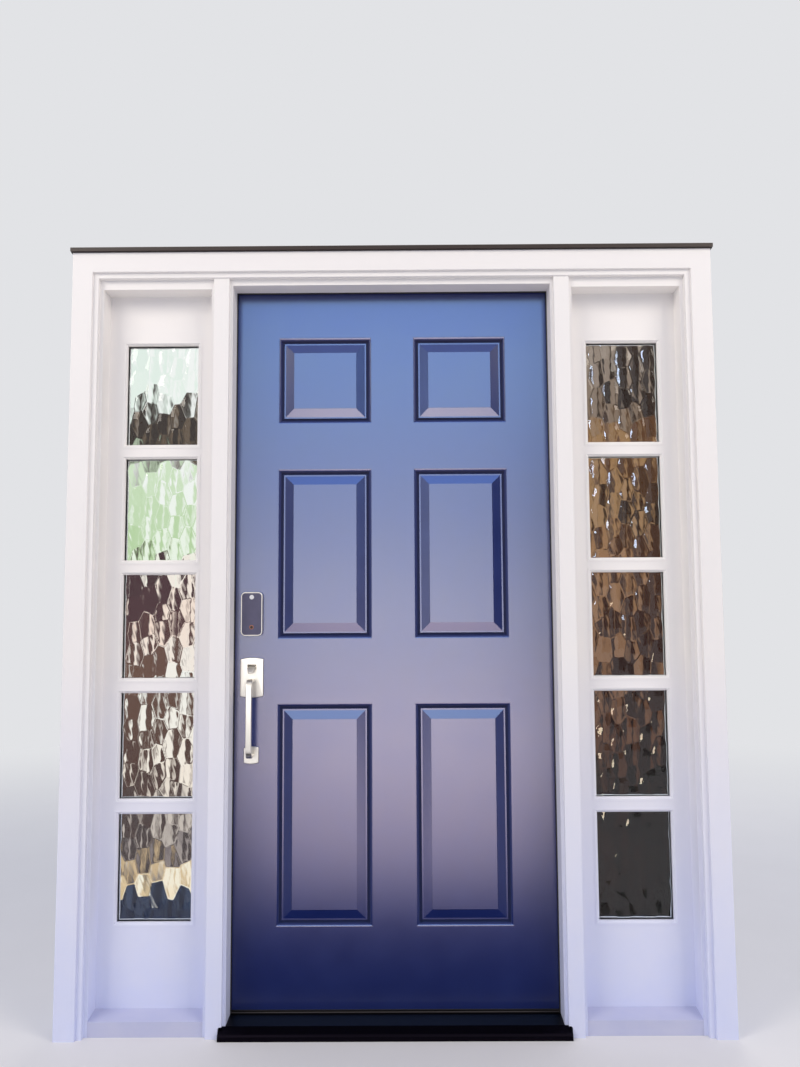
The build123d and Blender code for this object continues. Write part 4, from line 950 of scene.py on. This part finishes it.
# %% World
world = bpy.data.worlds.new("studio")
world.use_nodes = True
tree = world.node_tree
tree.nodes.clear()
fill = add(tree, "Background", Color=linear("#D2DBF6"), Strength=0.6)
backdrop = add(tree, "Background", Color=linear(BACKDROP))
both = add(tree, "MixShader", Fac=seen_rays(tree), i1=fill, i2=backdrop)
add(tree, "OutputWorld", Surface=both)
bpy.context.scene.world = world
bpy.context.scene.view_settings.view_transform = "Standard"

# %% [markdown]
# ## The dim room behind the glass
# The panes would be blank without something behind them. A sheet runs back along the room's floor
# and curves up, 1.4 m behind each sidelight. Only light that has passed through glass sees it. Its
# colour is a warm dark umber crossed by paler upright streaks, and it changes with height: painted
# light and painted shade. Part of it stands for a hall with bright windows here and dark furniture
# there, and part is painted reflection of the bright outdoors that the panes mirror.

# %% Room sheets
ROOM_NEAR = 0.14
ROOM_FAR = 1.55
ROOM_CURVE = 0.3
ROOM_TOP = 3.4
ROOM_LIFT = 0.004
HALF_WIDTH = 1.5
STREAKS = (15.0, 9.0, 1.0)  # per metre across and upwards
NEAR_DOOR, FAR_DOOR, MORE_STREAKS = 0.85, 1.3, 0.13  # more of them towards the door
STREAK_FROM, STREAK_TO = 0.5, 0.6  # noise that counts as dark, and as a streak
WANDER = 0.3  # how far the colours wander up and down, in metres
RUN_LOW, RUN_HIGH = -1.0, 2.5  # the lists' range


def ramp(tree, factor, stops):
    """A colour ramp from (place, hex code) stops, the place between 0 and 1."""
    made = add(tree, "ValToRGB", Fac=factor)
    elements = made.color_ramp.elements
    while len(elements) < len(stops):
        elements.new(0.5)
    for element, (place, code) in zip(elements, stops):
        element.position = place
        element.color = linear(code)
    return made


def room_sheet(name, centre_x, colours):
    """A stage sheet seen only through the panes. Its UV map holds x and the distance up from its
    foot at the back, in metres, negative along the floor; colours change with that distance.
    Noise stretched upwards chooses between ground and streaks, more streaks by the door."""
    turn = np.linspace(0, math.pi / 2, 9)
    bend_y = ROOM_FAR - ROOM_CURVE + ROOM_CURVE * np.sin(turn)
    bend_z = ROOM_LIFT + ROOM_CURVE * (1 - np.cos(turn))
    foot_y = np.concatenate([[ROOM_NEAR], bend_y, [ROOM_FAR]])
    foot_z = np.concatenate([[ROOM_LIFT], bend_z, [ROOM_TOP]])
    run = np.concatenate([[0], np.cumsum(np.hypot(np.diff(foot_y), np.diff(foot_z)))])
    run -= ROOM_FAR - ROOM_NEAR
    sides = np.array([centre_x - HALF_WIDTH, centre_x + HALF_WIDTH])
    points = np.stack([np.tile(sides, len(run)), np.repeat(foot_y, 2), np.repeat(foot_z, 2)], -1)
    material, tree = finish_named(name)
    place = add(tree, "UVMap", {"uv_map": "room"}).outputs["UV"]
    parts = add(tree, "SeparateXYZ", Vector=place)
    stretched = add(tree, "Mapping", Vector=place, Scale=STREAKS)
    slots = add(tree, "TexNoise", Vector=stretched, Scale=1.0, Detail=3.0)
    way = math.copysign(1, centre_x)
    nearer = add(tree, "MapRange", Value=parts.outputs["X"], i1=FAR_DOOR * way,
                 i2=NEAR_DOOR * way, i3=-MORE_STREAKS, i4=MORE_STREAKS)
    shifted = add(tree, "Math", {"operation": "ADD"}, i0=slots, i1=nearer)
    lit = add(tree, "MapRange", Value=shifted, i1=STREAK_FROM, i2=STREAK_TO)
    wander = add(tree, "Math", {"operation": "MULTIPLY_ADD"}, i0=slots,
                 i1=WANDER, i2=parts.outputs["Y"])
    share = add(tree, "MapRange", Value=wander, i1=RUN_LOW + WANDER / 2, i2=RUN_HIGH + WANDER / 2)
    tones = [ramp(tree, share, [((stop[0] - RUN_LOW) / (RUN_HIGH - RUN_LOW), stop[column])
                                for stop in colours])
             for column in (1, 2)]
    tone = blend(tree, lit, *tones)
    glow = add(tree, "Emission", Color=tone)
    add(tree, "OutputMaterial", Surface=glow)
    sheet = mesh_piece(name, points, grid_faces(len(run), 2), material)
    layer = sheet.data.uv_layers.new(name="room")
    corner = np.empty(len(sheet.data.loops), dtype=np.int32)
    sheet.data.loops.foreach_get("vertex_index", corner)
    unrolled = np.stack([points[:, 0], np.repeat(run, 2)], -1)
    layer.data.foreach_set("uv", unrolled[corner].ravel())
    hide_from(sheet, "camera", "diffuse", "glossy", "shadow")


# painted light and painted shade, partly standing for reflections in the panes
# (distance up from the sheet's foot, colour between the streaks, colour of the streaks)
room_sheet("room_left", -1.6, [
    (-0.6, "#101830", "#222C48"), (-0.34, "#1A2036", "#3C4660"), (-0.27, "#E8CCA4", "#FFF8EA"),
    (-0.15, "#CDB08C", "#FFEBD0"), (-0.09, "#443A3C", "#74686C"), (0.3, "#4C3028", "#FFF0E4"),
    (0.7, "#684638", "#FFFCF8"), (0.95, "#48222A", "#FFE4D6"), (1.2, "#3A1A22", "#FFF4EC"),
    (1.26, "#BCD8A6", "#F4FCEC"), (1.62, "#DCEDD0", "#FFFFFF"), (1.72, "#281B14", "#5A4838"),
    (1.88, "#32241C", "#6A5848"), (1.95, "#F2FAF4", "#FFFFFF"), (2.45, "#E4F2EC", "#FFFFFF")])
room_sheet("room_right", 1.6, [
    (-0.6, "#050303", "#0E0807"), (0.2, "#0B0404", "#200E0A"), (0.45, "#1C0807", "#583626"),
    (0.8, "#301610", "#86624A"), (1.28, "#462818", "#9C7454"), (1.4, "#2A1810", "#A07C5A"),
    (1.75, "#684226", "#A07A54"), (1.9, "#2A1C17", "#867264"), (2.4, "#3C2C26", "#A8988E")])
